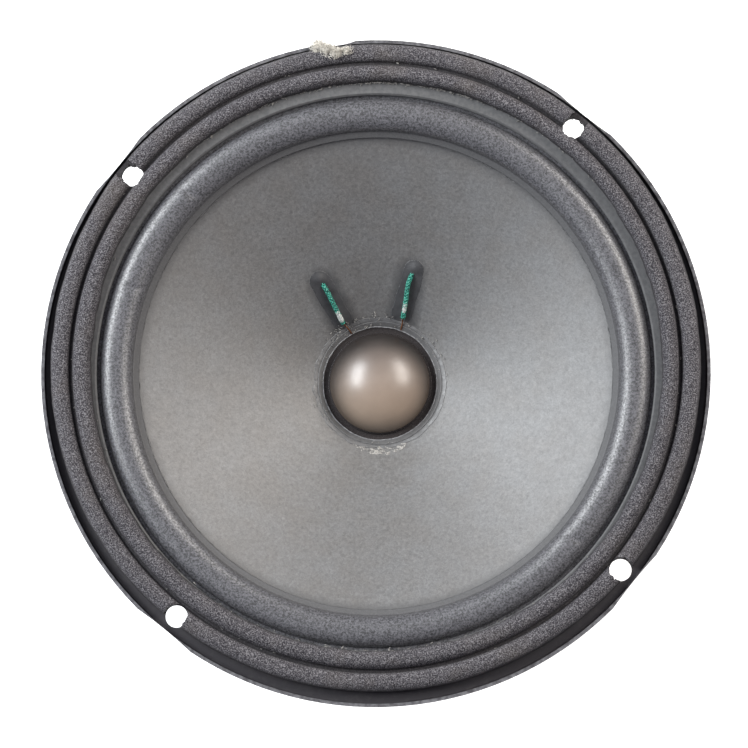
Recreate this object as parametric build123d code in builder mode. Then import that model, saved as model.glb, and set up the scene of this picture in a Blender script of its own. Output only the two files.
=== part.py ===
"""Round 165 mm car loudspeaker driver, modelled as the separate pieces it is assembled from.

Frame: millimetres, +Z along the driver's axis towards the listener. The origin is the centre of the
bolt circle on the flange's rear face, the face that seats on the door panel. The leads and the
terminals are on the +Y side. Section profiles are drawn as (radius, height) and turned about Z.
"""

import os
from math import asin, atan2, cos, degrees, hypot, radians, sin, sqrt

from build123d import *

# ---- driving dimensions ----
rim_radius = 82.5  # outside of the turned-up lip
sheet = 0.8  # pressed steel of the basket
lip_top = 3.2  # top of the lip above the seating face
bolt_circle_radius = 77.5
bolt_hole_radius = 2.75
collar_radius = 68.6  # where the flange turns down into the basket wall
seat_z = -40.0  # front of the motor, which the basket is riveted to
ledge_z = -32.8  # front of the ledge that carries the spider
arm_count = 6
arm_half_angle = 11.0

cone_skin = 0.6
cone_neck_z = -28.6
cone_edge_radius = 58.2  # end of the curved body, start of the straight glue rim
cone_edge_z = -0.95
cone_bow = 0.9  # how far the body bows forward of a straight cone
glue_rim = 3.0  # straight rim of the cone under the surround's foot
neck_sleeve = 1.7  # how far the cone's neck reaches down the former

surround_skin = 0.5
roll_inner_radius = 60.3
roll_outer_radius = 67.6
roll_height = 3.0

former_inner_radius = 12.75
former_radius = 13.05
former_top = -28.95
former_bottom = -50.0
winding_radius = 13.65
winding_top = -37.5
winding_bottom = -47.5

dome_radius = 12.9
dome_height = 9.8
dome_skin = 0.3
dome_flange_radius = 15.6

spider_skin = 0.4
spider_radius = 43.3
wave_start = 16.0
wave_pitch = 3.9
wave_count = 5
wave_height = 1.0

plate_radius = 33.0
plate_thickness = 5.0
gap_radius = 14.0  # bore of the top plate
magnet_radius = 40.0
magnet_bore = 18.0
magnet_thickness = 12.0
yoke_radius = 38.5
yoke_thickness = 5.0
pole_radius = 12.2
pole_top = -39.5
vent_radius = 4.0

clamp_inner = 68.8
clamp_outer = 74.2
clamp_thickness = 2.0
gasket_shift = 1.3  # the foam ring is laid by hand, off centre towards +Y

lead_angle = 24.5  # each lead's azimuth either side of +Y
braid_radius = 0.55
wire_radius = 0.2

# ---- worked-out levels ----
flange_front = sheet
clamp_bottom = flange_front + surround_skin
clamp_top = clamp_bottom + clamp_thickness
plate_rear = seat_z - plate_thickness
magnet_rear = plate_rear - magnet_thickness
yoke_rear = magnet_rear - yoke_thickness

# ---- the cone's body as an arc, so that everything glued to it can follow it ----
neck_radius = former_radius + cone_skin / 2
chord = hypot(cone_edge_radius - neck_radius, cone_edge_z - cone_neck_z)
chord_angle = atan2(cone_edge_z - cone_neck_z, cone_edge_radius - neck_radius)
body_radius = (chord**2 / 4 + cone_bow**2) / (2 * cone_bow)
mid_r = (neck_radius + cone_edge_radius) / 2
mid_z = (cone_neck_z + cone_edge_z) / 2
centre_drop = body_radius - cone_bow
body_centre_r = mid_r + centre_drop * sin(chord_angle)
body_centre_z = mid_z - centre_drop * cos(chord_angle)
edge_slope = chord_angle - asin(chord / 2 / body_radius)


def cone_point(radius, above=0.0):
    """Point (radius, height) that lies a distance above the middle of the cone's skin."""
    z = body_centre_z + sqrt(body_radius**2 - (radius - body_centre_r) ** 2)
    out_r = (radius - body_centre_r) / body_radius
    out_z = (z - body_centre_z) / body_radius
    return radius + above * out_r, z + above * out_z


def azimuth_plane(angle):
    """Plane through the axis at an azimuth, with its x outwards and its y along +Z."""
    a = radians(angle)
    return Plane(origin=(0, 0, 0), x_dir=(cos(a), sin(a), 0), z_dir=(sin(a), -cos(a), 0))


def save(part, name):
    """Labels a finished piece and writes it as parts/NAME.step."""
    part.label = name
    export_step(part, f"parts/{name}.step")


os.makedirs("parts", exist_ok=True)

# =====================================================================================
# Basket: one steel pressing with a lip, flange, six arms, spider ledge and motor seat
# =====================================================================================
wall_top = (67.0, -7.0)  # centre line of the sheet where the arms start
wall_foot = (46.2, ledge_z - sheet / 2)
step_top = (37.6, ledge_z - sheet / 2)
step_foot = (36.0, seat_z + sheet / 2)
seat_bore = 16.5
wall_length = hypot(wall_top[0] - wall_foot[0], wall_top[1] - wall_foot[1])
wall_out = Vector(wall_top[1] - wall_foot[1], wall_foot[0] - wall_top[0]) / wall_length
wall_down = Vector(wall_foot[0] - wall_top[0], wall_foot[1] - wall_top[1]) / wall_length
window_from = 4.5  # along the wall from its top
window_to = wall_length - 4.5
window_corner = 4.0
cutter_half_depth = 4.0
rib_height = 1.8
notch_floor = 81.75  # deepest point of the scoops in the lip
notch_sweep = 115.0  # radius of the scoop at each bolt hole
key_sweep = 19.0  # radius of the scoop that locates the driver
key_offset = -1.25  # its middle, beside the +Y axis
board_rivet_y = 3.5
board_rivet_radius = 1.2
rivet_circle = 25.0
rivet_radius = 1.7


def on_wall(along, out):
    """Point (radius, height) on the arms' wall, along it from its top and out from its middle."""
    return tuple(Vector(*wall_top) + wall_down * along + wall_out * out)[:2]


with BuildPart() as window_cutter:
    with BuildSketch(azimuth_plane(-(180 / arm_count - arm_half_angle))):
        with BuildLine():
            Polyline(
                on_wall(window_from, -cutter_half_depth),
                on_wall(window_from, cutter_half_depth),
                on_wall(window_to, cutter_half_depth),
                on_wall(window_to, -cutter_half_depth),
                close=True,
            )
        make_face()
    revolve(axis=Axis.Z, revolution_arc=360 / arm_count - 2 * arm_half_angle)
    corner_edges = window_cutter.edges().filter_by(GeomType.LINE)
    fillet(
        corner_edges.filter_by(lambda e: abs(e.length - 2 * cutter_half_depth) < 0.01),
        radius=window_corner,
    )

with BuildPart() as basket:
    with BuildSketch(Plane.XZ):
        with BuildLine():
            FilletPolyline(
                (rim_radius - sheet / 2, lip_top),
                (rim_radius - sheet / 2, sheet / 2),
                (collar_radius, sheet / 2),
                wall_top,
                wall_foot,
                step_top,
                step_foot,
                (seat_bore, seat_z + sheet / 2),
                radius=[0.9, 1.2, 2.0, 2.5, 1.5, 1.5],
            )
        trace(line_width=sheet)
    revolve(axis=Axis.Z)
    # window edges turned outwards, which stiffens the arms; the terminal arm stays plain
    for arm in range(arm_count):
        arm_angle = 180 / arm_count + arm * 360 / arm_count
        if abs(arm_angle - 90) < 1:
            continue
        for side in (-1, 1):
            with BuildSketch(azimuth_plane(arm_angle + side * (arm_half_angle - 0.5))):
                with BuildLine():
                    Polyline(
                        on_wall(2.5, 0),
                        on_wall(window_from + 1.5, rib_height),
                        on_wall(window_to - 1.5, rib_height),
                        on_wall(wall_length - 2.5, 0),
                        close=True,
                    )
                make_face()
            extrude(amount=sheet / 2, both=True)
    with PolarLocations(0, arm_count):
        add(window_cutter.part, mode=Mode.SUBTRACT)
    # lip and flange edge scooped away at each bolt hole, and a locating key in the lip at +Y
    with BuildSketch(Plane.XY):
        with PolarLocations(notch_floor + notch_sweep, 4, start_angle=45):
            Circle(notch_sweep)
        with Locations((key_offset, notch_floor + key_sweep)):
            Circle(key_sweep)
    extrude(amount=lip_top + 1, both=True, mode=Mode.SUBTRACT)
    with Locations(Plane.XY.offset(flange_front)):
        with PolarLocations(bolt_circle_radius, 4, start_angle=45):
            Hole(bolt_hole_radius, depth=3 * sheet)
    with Locations(Plane.XY.offset(seat_z + sheet)):
        with PolarLocations(rivet_circle, 4, start_angle=45):
            Hole(rivet_radius + 0.05, depth=3 * sheet)
    # two rivet holes for the terminal board in the arm at +Y
    board_origin = on_wall(wall_length / 2, sheet / 2)
    board_plane = Plane(
        origin=(0, board_origin[0], board_origin[1]),
        x_dir=(1, 0, 0),
        z_dir=(0, wall_out.X, wall_out.Y),
    )
    with Locations(board_plane):
        with Locations((0, -board_rivet_y), (0, board_rivet_y)):
            Hole(board_rivet_radius + 0.05, depth=3 * sheet)
save(basket.part, "basket")

# =====================================================================================
# Front ring: surround, pressboard clamp ring and double-bead foam gasket
# =====================================================================================
rim_start = Vector(*cone_point(cone_edge_radius))
rim_along = Vector(cos(edge_slope), sin(edge_slope))
rim_up = Vector(-sin(edge_slope), cos(edge_slope))
foot_lift = (cone_skin + surround_skin) / 2
foot_inner = rim_start + rim_along * 0.3 + rim_up * foot_lift
foot_outer = rim_start + rim_along * 2.55 + rim_up * foot_lift
foot_z = flange_front + surround_skin / 2

with BuildPart() as surround:
    with BuildSketch(Plane.XZ):
        with BuildLine() as surround_line:
            Line(tuple(foot_inner)[:2], tuple(foot_outer)[:2])
            ThreePointArc(
                tuple(foot_outer)[:2],
                ((roll_inner_radius + roll_outer_radius) / 2, foot_z + roll_height),
                (roll_outer_radius, foot_z),
            )
            Line((roll_outer_radius, foot_z), (clamp_outer - 0.2, foot_z))
            fillet(surround_line.vertices().sort_by(Axis.X)[1:3], radius=0.5)
        trace(line_width=surround_skin)
    revolve(axis=Axis.Z)
save(surround.part, "surround")

with BuildPart() as clamp_ring:
    with BuildSketch(Plane.XY.offset(clamp_bottom)):
        Circle(clamp_outer)
        Circle(clamp_inner, mode=Mode.SUBTRACT)
    extrude(amount=clamp_thickness)
    chamfer(clamp_ring.edges().group_by(Axis.Z)[-1].sort_by(SortBy.RADIUS)[0], length=0.4)
save(clamp_ring.part, "clamp_ring")

bead_top = 6.6
groove_floor = 4.1
gasket_outer = 80.1
groove_radius = 75.1
gasket_inner = 70.3
gasket_slot = 7.6

with BuildPart() as gasket:
    with BuildSketch(Plane.XZ):
        with BuildLine():
            Polyline(
                (gasket_inner, clamp_top + 0.6),
                (gasket_inner, flange_front),
                (gasket_outer, flange_front),
                (gasket_outer, 3.4),
            )
            ThreePointArc(
                (gasket_outer, 3.4),
                ((gasket_outer + groove_radius) / 2 + 0.4, bead_top - 0.6),
                (groove_radius + 0.5, groove_floor),
            )
            Line((groove_radius + 0.5, groove_floor), (groove_radius - 0.5, groove_floor))
            ThreePointArc(
                (groove_radius - 0.5, groove_floor),
                ((gasket_inner + groove_radius) / 2, bead_top),
                (gasket_inner, clamp_top + 0.6),
            )
        make_face()
    revolve(axis=Axis.Z)
gasket_ring = gasket.part.moved(Location((0, gasket_shift, 0)))

with BuildPart() as gasket:
    add(gasket_ring)
    # the foam steps down over the clamp ring, and stays inside the lip
    with BuildSketch(Plane.XY):
        Circle(clamp_outer)
    extrude(amount=clamp_top, mode=Mode.SUBTRACT)
    with BuildSketch(Plane.XY):
        Circle(rim_radius + 3)
        Circle(rim_radius - sheet - 0.55, mode=Mode.SUBTRACT)
    extrude(amount=bead_top + 1, mode=Mode.SUBTRACT)
    # a slot through the outer bead at each bolt hole
    with BuildSketch(Plane.XY):
        with PolarLocations(bolt_circle_radius, 4, start_angle=45):
            Circle(gasket_slot / 2 - 0.4)
            with Locations((5, 0)):
                Rectangle(10, gasket_slot)
    extrude(amount=bead_top + 1, mode=Mode.SUBTRACT)
save(gasket.part, "gasket")

# =====================================================================================
# Moving parts: cone, dust cap, former, winding and the glue between them
# =====================================================================================
lead_hole_radius = 29.6
hole_clearance = 0.25  # around the braid where it goes through the cone
lead_azimuths = {"left": 90 + lead_angle, "right": 90 - lead_angle}

with BuildPart() as cone:
    with BuildSketch(Plane.XZ):
        with BuildLine() as cone_line:
            Line((neck_radius, cone_neck_z - neck_sleeve), (neck_radius, cone_neck_z))
            SagittaArc((neck_radius, cone_neck_z), (cone_edge_radius, cone_edge_z), cone_bow)
            Line(tuple(rim_start)[:2], tuple(rim_start + rim_along * glue_rim)[:2])
            fillet(cone_line.vertices().sort_by(Axis.Y)[1], radius=0.8)
        trace(line_width=cone_skin)
    revolve(axis=Axis.Z)
    with Locations(Plane.XY.offset(cone_point(lead_hole_radius)[1] + 5)):
        for azimuth in lead_azimuths.values():
            with PolarLocations(lead_hole_radius, 1, start_angle=azimuth):
                Hole(braid_radius + hole_clearance, depth=10)
save(cone.part, "cone")

cap_gap = 0.05  # glue film under the cap's flange
cap_lift = cone_skin / 2 + cap_gap + dome_skin / 2
flange_outer = cone_point(dome_flange_radius, cap_lift)
flange_inner = cone_point(dome_radius + 1.0, cap_lift)
dome_base = (dome_radius, flange_inner[1] - 0.35)

with BuildPart() as dust_cap:
    with BuildSketch(Plane.XZ):
        with BuildLine():
            Line(flange_outer, flange_inner)
            Line(flange_inner, dome_base)
            ThreePointArc(dome_base, (0, dome_base[1] + dome_height), (-dome_radius, dome_base[1]))
        trace(line_width=dome_skin)
        Rectangle(2 * dome_radius, 100, align=(Align.MIN, Align.CENTER), mode=Mode.INTERSECT)
    revolve(axis=Axis.Z)
save(dust_cap.part, "dust_cap")

with BuildPart() as dust_cap_glue:
    with BuildSketch(Plane.XZ):
        with BuildLine():
            Polyline(
                cone_point(dome_flange_radius + 0.15, cone_skin / 2 + cap_gap),
                cone_point(dome_flange_radius + 1.0, cone_skin / 2 + cap_gap),
                cone_point(dome_flange_radius + 0.15, cone_skin / 2 + cap_gap + 0.55),
                close=True,
            )
        make_face()
    revolve(axis=Axis.Z)
save(dust_cap_glue.part, "dust_cap_glue")

with BuildPart() as coil_former:
    with BuildSketch(Plane.XY.offset(former_bottom)):
        Circle(former_radius)
        Circle(former_inner_radius, mode=Mode.SUBTRACT)
    extrude(amount=former_top - former_bottom)
save(coil_former.part, "coil_former")

with BuildPart() as coil_winding:
    with BuildSketch(Plane.XY.offset(winding_bottom)):
        Circle(winding_radius)
        Circle(former_radius, mode=Mode.SUBTRACT)
    extrude(amount=winding_top - winding_bottom)
save(coil_winding.part, "coil_winding")

spider_z = ledge_z + spider_skin / 2
collar_thickness = 0.25
glue_height = 0.9

with BuildPart() as coil_collar:
    with BuildSketch(Plane.XY.offset(winding_top + 0.1)):
        Circle(former_radius + collar_thickness)
        Circle(former_radius, mode=Mode.SUBTRACT)
    extrude(amount=ledge_z - 0.3 - (winding_top + 0.1))
save(coil_collar.part, "coil_collar")

with BuildPart() as neck_glue:
    with BuildSketch(Plane.XY.offset(cone_neck_z - neck_sleeve)):
        Circle(former_radius + cone_skin + glue_height)
        Circle(former_radius + cone_skin, mode=Mode.SUBTRACT)
    extrude(amount=glue_height)
    chamfer(neck_glue.edges().group_by(Axis.Z)[0].sort_by(SortBy.RADIUS)[-1], length=0.5)
save(neck_glue.part, "neck_glue")

with BuildPart() as spider:
    with BuildSketch(Plane.XZ):
        with BuildLine() as spider_line:
            collar_mid = former_radius + spider_skin / 2
            Line((collar_mid, spider_z + 1.8), (collar_mid, spider_z))
            Line((collar_mid, spider_z), (wave_start, spider_z))
            for wave in range(wave_count):
                crest = wave_start + wave * wave_pitch
                trough = crest + wave_pitch / 2
                SagittaArc((crest, spider_z), (trough, spider_z), wave_height)
                SagittaArc((trough, spider_z), (crest + wave_pitch, spider_z), -wave_height)
            wave_end = wave_start + wave_count * wave_pitch
            Line((wave_end, spider_z), (spider_radius, spider_z))
        trace(line_width=spider_skin)
    revolve(axis=Axis.Z)
save(spider.part, "spider")

# =====================================================================================
# Leads: each braid comes through the cone, lies on its front and is soldered to the
# coil's wire; black dope holds it down
# =====================================================================================
dope_thickness = 0.35
dope_lift = cone_skin / 2 + 0.03
braid_lift = dope_lift + dope_thickness + 0.13 + braid_radius
wire_start = 13.6
solder_from = 18.0
solder_to = 20.3
dope_inner = 16.9
dope_outer = 31.2
dope_width = 6.6
braid_drop = 2.6  # how far the braid comes out behind the cone

# the slack braid behind the cone: a straight start, two control points on the way, a straight end
lead_start = 4.2
lead_low = Vector(12.9, 35.6, -26.3)
lead_high = Vector(13.6, 43.2, -24.4)
lead_finish = 5.0
lead_bends = [3.2, 8.0, 12.0, 5.0]

board_thickness = 1.6
board_width = 38.0
board_height = 11.0
eyelet_x = 14.0
eyelet_radius = 1.1
eyelet_head = 2.0
head_thickness = 0.5

with BuildPart() as dope_layer:
    with BuildSketch(Plane.XZ):
        with BuildLine():
            layer_middle = dope_lift + dope_thickness / 2
            ThreePointArc(
                cone_point(dope_inner - 1, layer_middle),
                cone_point((dope_inner + dope_outer) / 2, layer_middle),
                cone_point(dope_outer + 1, layer_middle),
            )
        trace(line_width=dope_thickness)
    revolve(axis=Axis.Z)

for side, azimuth in lead_azimuths.items():
    lead_plane = azimuth_plane(azimuth)
    outwards = Vector(cos(radians(azimuth)), sin(radians(azimuth)))
    hand = -1 if side == "left" else 1

    with BuildPart() as coil_wire:
        with BuildLine(lead_plane) as wire_line:
            Line(cone_point(wire_start, braid_lift), cone_point(solder_from, braid_lift))
        with BuildSketch(Plane(origin=wire_line.line @ 0, z_dir=wire_line.line % 0)):
            Circle(wire_radius)
        sweep()
    save(coil_wire.part, f"coil_wire_{side}")

    with BuildPart() as solder_joint:
        with BuildLine(lead_plane) as solder_line:
            Line(cone_point(solder_from, braid_lift), cone_point(solder_to, braid_lift))
        with BuildSketch(Plane(origin=solder_line.line @ 0, z_dir=solder_line.line % 0)):
            Circle(braid_radius + 0.1)
        sweep()
        fillet(solder_joint.edges().filter_by(GeomType.CIRCLE), radius=0.25)
    save(solder_joint.part, f"solder_joint_{side}")

    with BuildPart() as tinsel_end:
        bend_top = cone_point(lead_hole_radius - 0.2, braid_lift)
        hole_bottom = cone_point(lead_hole_radius)[1] - braid_drop
        with BuildLine(lead_plane) as end_line:
            FilletPolyline(
                cone_point(solder_to, braid_lift),
                cone_point(25.0, braid_lift + 0.1),
                (lead_hole_radius, bend_top[1] + 0.3),
                (lead_hole_radius, hole_bottom),
                radius=[12.0, 1.1],
            )
        with BuildSketch(Plane(origin=end_line.line @ 0, z_dir=end_line.line % 0)):
            Circle(braid_radius)
        sweep(transition=Transition.ROUND)
    save(tinsel_end.part, f"tinsel_end_{side}")

    with BuildPart() as lead_dope:
        add(dope_layer.part)
        dope_centre = outwards * ((dope_inner + dope_outer) / 2)
        with BuildSketch(Plane.XY.offset(cone_neck_z - 5)):
            with Locations(Location(tuple(dope_centre), azimuth)):
                SlotOverall(dope_outer - dope_inner, dope_width)
                with Locations((lead_hole_radius - 0.6 - (dope_inner + dope_outer) / 2, 0)):
                    Circle(braid_radius + 0.9, mode=Mode.SUBTRACT)
        extrude(amount=40, mode=Mode.INTERSECT)
    save(lead_dope.part, f"lead_dope_{side}")

    # flexible braid behind the cone, slack enough for the cone's travel
    eyelet_face = board_plane.from_local_coords((hand * eyelet_x, 0, -head_thickness))
    cone_exit = outwards * lead_hole_radius + Vector(0, 0, hole_bottom - 0.02)
    board_in = -board_plane.z_dir
    lead_points = [
        cone_exit,
        cone_exit + Vector(0, 0, -lead_start),
        Vector(hand * lead_low.X, lead_low.Y, lead_low.Z),
        Vector(hand * lead_high.X, lead_high.Y, lead_high.Z),
        eyelet_face + board_in * lead_finish,
        eyelet_face + board_in * 0.02,
    ]
    with BuildPart() as tinsel_lead:
        with BuildLine() as lead_line:
            FilletPolyline(*lead_points, radius=lead_bends)
        with BuildSketch(Plane(origin=lead_line.line @ 0, z_dir=lead_line.line % 0)):
            Circle(braid_radius)
        sweep(transition=Transition.ROUND)
    print(f"tinsel lead {side}: length {lead_line.wires()[0].length:.1f} mm")
    save(tinsel_lead.part, f"tinsel_lead_{side}")

# =====================================================================================
# Terminals on the arm at +Y
# =====================================================================================
tab_thickness = 0.8
tab_foot_inner = 11.0
tab_foot_outer = 17.2
blade_height = 8.5
blade_widths = {"positive": (1, 6.3), "negative": (-1, 4.8)}
board_rivet_head = 2.1

with BuildPart() as terminal_board:
    with BuildSketch(board_plane):
        RectangleRounded(board_width, board_height, 1.2)
        with Locations((0, -board_rivet_y), (0, board_rivet_y)):
            Circle(board_rivet_radius + 0.05, mode=Mode.SUBTRACT)
        with Locations((-eyelet_x, 0), (eyelet_x, 0)):
            Circle(eyelet_radius + 0.05, mode=Mode.SUBTRACT)
    extrude(amount=board_thickness)
save(terminal_board.part, "terminal_board")

for pole, (hand, width) in blade_widths.items():
    board_outer = board_plane.offset(board_thickness)
    with BuildPart() as terminal:
        with BuildSketch(board_outer):
            with Locations((hand * (tab_foot_inner + tab_foot_outer) / 2, 0)):
                Rectangle(tab_foot_outer - tab_foot_inner, width)
            with Locations((hand * eyelet_x, 0)):
                Circle(eyelet_radius + 0.05, mode=Mode.SUBTRACT)
        extrude(amount=tab_thickness)
        with BuildSketch(board_outer):
            with Locations((hand * (tab_foot_outer - tab_thickness / 2), 0)):
                Rectangle(tab_thickness, width)
        extrude(amount=blade_height)
        tip = terminal.faces().sort_by(Axis(board_outer.origin, board_outer.z_dir))[-1]
        chamfer(tip.edges().filter_by(Axis(board_outer.origin, board_outer.y_dir)), length=0.25)
    save(terminal.part, f"terminal_{pole}")

with BuildPart() as terminal_eyelets:
    with BuildSketch(board_plane.offset(-head_thickness)):
        with Locations((-eyelet_x, 0), (eyelet_x, 0)):
            Circle(eyelet_head)
    extrude(amount=head_thickness)
    with BuildSketch(board_plane):
        with Locations((-eyelet_x, 0), (eyelet_x, 0)):
            Circle(eyelet_radius)
    extrude(amount=board_thickness + tab_thickness)
    with BuildSketch(board_plane.offset(board_thickness + tab_thickness)):
        with Locations((-eyelet_x, 0), (eyelet_x, 0)):
            Circle(eyelet_head - 0.2)
    extrude(amount=head_thickness)
save(terminal_eyelets.part, "terminal_eyelets")

with BuildPart() as board_rivets:
    for rivet_y in (-board_rivet_y, board_rivet_y):
        with BuildSketch(board_plane.offset(-sheet - head_thickness - 0.06)):
            with Locations((0, rivet_y)):
                Circle(board_rivet_head)
        extrude(amount=head_thickness)
        with BuildSketch(board_plane.offset(-sheet - 0.06)):
            with Locations((0, rivet_y)):
                Circle(board_rivet_radius)
        extrude(amount=sheet + 0.06 + board_thickness)
        with BuildSketch(board_plane.offset(board_thickness)):
            with Locations((0, rivet_y)):
                Circle(board_rivet_head)
        extrude(amount=head_thickness + 0.2)
save(board_rivets.part, "board_rivets")

# =====================================================================================
# Motor: top plate, ferrite ring, yoke with a vented pole, and the rivets into the basket
# =====================================================================================
rivet_head_radius = 3.0
rivet_head_height = 1.1

with BuildPart() as top_plate:
    with BuildSketch(Plane.XY.offset(plate_rear)):
        Circle(plate_radius)
        Circle(gap_radius, mode=Mode.SUBTRACT)
        with PolarLocations(rivet_circle, 4, start_angle=45):
            Circle(rivet_radius + 0.05, mode=Mode.SUBTRACT)
    extrude(amount=plate_thickness)
    chamfer(top_plate.edges().filter_by(GeomType.CIRCLE).sort_by(SortBy.RADIUS)[-2:], length=0.6)
save(top_plate.part, "top_plate")

with BuildPart() as magnet:
    with BuildSketch(Plane.XY.offset(magnet_rear)):
        Circle(magnet_radius)
        Circle(magnet_bore, mode=Mode.SUBTRACT)
    extrude(amount=magnet_thickness)
    chamfer(magnet.edges().filter_by(GeomType.CIRCLE).sort_by(SortBy.RADIUS)[-2:], length=1.0)
save(magnet.part, "magnet")

screen_radius = 6.1
screen_recess = 1.0
screen_thickness = 0.4

with BuildPart() as yoke:
    with BuildSketch(Plane.XZ):
        with BuildLine():
            FilletPolyline(
                (vent_radius, yoke_rear),
                (yoke_radius, yoke_rear),
                (yoke_radius, magnet_rear),
                (pole_radius, magnet_rear),
                (pole_radius, pole_top),
                (vent_radius, pole_top),
                close=True,
                radius=[0, 1.5, 0.6, 1.2, 0.8, 0.6],
            )
        make_face()
    revolve(axis=Axis.Z)
    with BuildSketch(Plane.XY.offset(yoke_rear)):
        Circle(screen_radius + 0.05)
    extrude(amount=screen_recess, mode=Mode.SUBTRACT)
save(yoke.part, "yoke")

with BuildPart() as vent_screen:
    with BuildSketch(Plane.XY.offset(yoke_rear + screen_recess - screen_thickness)):
        Circle(screen_radius)
    extrude(amount=screen_thickness)
save(vent_screen.part, "vent_screen")

with BuildPart() as plate_rivets:
    with BuildSketch(Plane.XY.offset(plate_rear)):
        with PolarLocations(rivet_circle, 4, start_angle=45):
            Circle(rivet_radius)
    extrude(amount=plate_thickness + sheet)
    with BuildSketch(Plane.XY.offset(seat_z + sheet)):
        with PolarLocations(rivet_circle, 4, start_angle=45):
            Circle(rivet_head_radius)
    extrude(amount=rivet_head_height)
    head_tops = plate_rivets.edges().group_by(Axis.Z)[-1]
    fillet(head_tops, radius=0.8)
save(plate_rivets.part, "plate_rivets")

print(f"cone slope at the neck {degrees(2 * chord_angle - edge_slope):.1f}, at the edge {degrees(edge_slope):.1f}")
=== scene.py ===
"""Looks of the round car loudspeaker driver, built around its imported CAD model.

Lengths are in millimetres until add_mesh() turns them into Blender's metres. The frame is the CAD's: +Z out
of the driver towards the listener, +Y towards the lead-out, origin on the mounting face.
"""

from itertools import product
from math import atan2, cos, pi, radians, sin, sqrt

import bmesh
import bpy
import numpy as np
from mathutils import Matrix, Vector
from mathutils.bvhtree import BVHTree


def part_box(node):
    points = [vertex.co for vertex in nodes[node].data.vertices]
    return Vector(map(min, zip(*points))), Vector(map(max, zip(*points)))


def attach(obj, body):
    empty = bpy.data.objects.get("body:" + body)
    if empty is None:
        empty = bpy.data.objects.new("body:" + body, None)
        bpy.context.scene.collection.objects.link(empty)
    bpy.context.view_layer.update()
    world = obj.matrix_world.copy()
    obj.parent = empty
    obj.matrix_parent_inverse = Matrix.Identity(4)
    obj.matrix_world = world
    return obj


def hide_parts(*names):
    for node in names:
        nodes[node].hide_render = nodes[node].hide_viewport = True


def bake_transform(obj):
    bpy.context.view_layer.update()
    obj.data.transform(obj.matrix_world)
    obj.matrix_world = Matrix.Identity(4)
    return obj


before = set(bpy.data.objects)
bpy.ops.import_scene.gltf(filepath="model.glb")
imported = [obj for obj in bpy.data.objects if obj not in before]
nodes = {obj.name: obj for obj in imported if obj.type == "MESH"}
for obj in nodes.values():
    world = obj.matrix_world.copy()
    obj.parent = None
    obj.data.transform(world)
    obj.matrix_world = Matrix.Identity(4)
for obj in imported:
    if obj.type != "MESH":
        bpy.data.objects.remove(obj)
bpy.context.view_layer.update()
MM = 0.001
FRAME = "frame"
MOVING = "cone_assembly"
rng = np.random.default_rng(11)


def box_mm(node):
    """Lowest and highest corners of a CAD node, in millimetres."""
    low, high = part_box(node)
    return np.array(low) / MM, np.array(high) / MM


# ---- places read from the frame ----
RIM_RADIUS = box_mm("basket")[1][0]
LIP_TOP = box_mm("basket")[1][2]
CLAMP_TOP = box_mm("clamp_ring")[1][2]
CLAMP_OUTER = box_mm("clamp_ring")[1][0]
FLANGE_FRONT = 0.8
REAR = box_mm("yoke")[0][2]
DOME_TOP = box_mm("dust_cap")[1][2]
SURROUND_OUTER = box_mm("surround")[1][0]
SURROUND_TOP = box_mm("surround")[1][2]
SPIDER_OUTER = box_mm("spider")[1][0]
HOLE_CIRCLE = 77.5
LEAD_HOLES = {"left": 114.5, "right": 65.5}  # azimuths of the holes in the cone
HOLE_AT = 29.6
SOAK_FROM, SOAK_TO = 16.5, 27.6  # the dark soaked patch under each lead
CONE_EDGE = 58.2
# each lead on the cone: its lower and upper ends (radius, azimuth), and where it is soldered
LEADS = {
    "left": ((17.9, 115.6), (26.9, 113.9), (18.3, 21.6)),
    "right": ((17.7, 64.2), (26.9, 67.6), (18.9, 21.6)),
}

# ---- Numbers and shapes ----


def hashed(cells, seed):
    """Repeatable random numbers from -1 to 1, one for each integer cell."""
    x, y, z = (cells[..., i].astype(np.int64) for i in range(3))
    n = (x * 374761393 + y * 668265263 + z * 2147483629 + seed * 974634777) & 0xFFFFFFFF
    n = ((n ^ (n >> 13)) * 1274126177) & 0xFFFFFFFF
    n = ((n ^ (n >> 16)) * 2246822519) & 0xFFFFFFFF
    return (n ^ (n >> 15)) / 2**31 - 1.0


def noise(points, size, seed=0):
    """Smooth noise from -1 to 1, with features of a size in millimetres."""
    p = np.asarray(points, float) / size
    cell = np.floor(p)
    t = p - cell
    t = t * t * (3 - 2 * t)
    total = 0.0
    for corner in product((0, 1), repeat=3):
        weight = 1.0
        for axis, side in enumerate(corner):
            weight = weight * (t[..., axis] if side else 1 - t[..., axis])
        total = total + weight * hashed(cell + np.array(corner), seed)
    return total


def in_plan(xy):
    """(x, y) points as (x, y, 0), for noise()."""
    return np.concatenate([xy, np.zeros_like(xy[..., :1])], axis=-1)


def arc(start, through, end, count):
    """Points along the circle from start through a point to end."""
    (ax, ay), (bx, by), (cx, cy) = start, through, end
    d = 2 * (ax * (by - cy) + bx * (cy - ay) + cx * (ay - by))
    a2, b2, c2 = ax**2 + ay**2, bx**2 + by**2, cx**2 + cy**2
    ux = (a2 * (by - cy) + b2 * (cy - ay) + c2 * (ay - by)) / d
    uy = (a2 * (cx - bx) + b2 * (ax - cx) + c2 * (bx - ax)) / d
    first = atan2(ay - uy, ax - ux)
    turn = atan2(by - uy, bx - ux) - first
    last = atan2(cy - uy, cx - ux) - first
    if (turn % (2 * pi)) > (last % (2 * pi)):
        last = -((-last) % (2 * pi))
    else:
        last = last % (2 * pi)
    angles = first + np.linspace(0, 1, count) * last
    radius = sqrt((ax - ux) ** 2 + (ay - uy) ** 2)
    return np.column_stack([ux + radius * np.cos(angles), uy + radius * np.sin(angles)])


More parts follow.
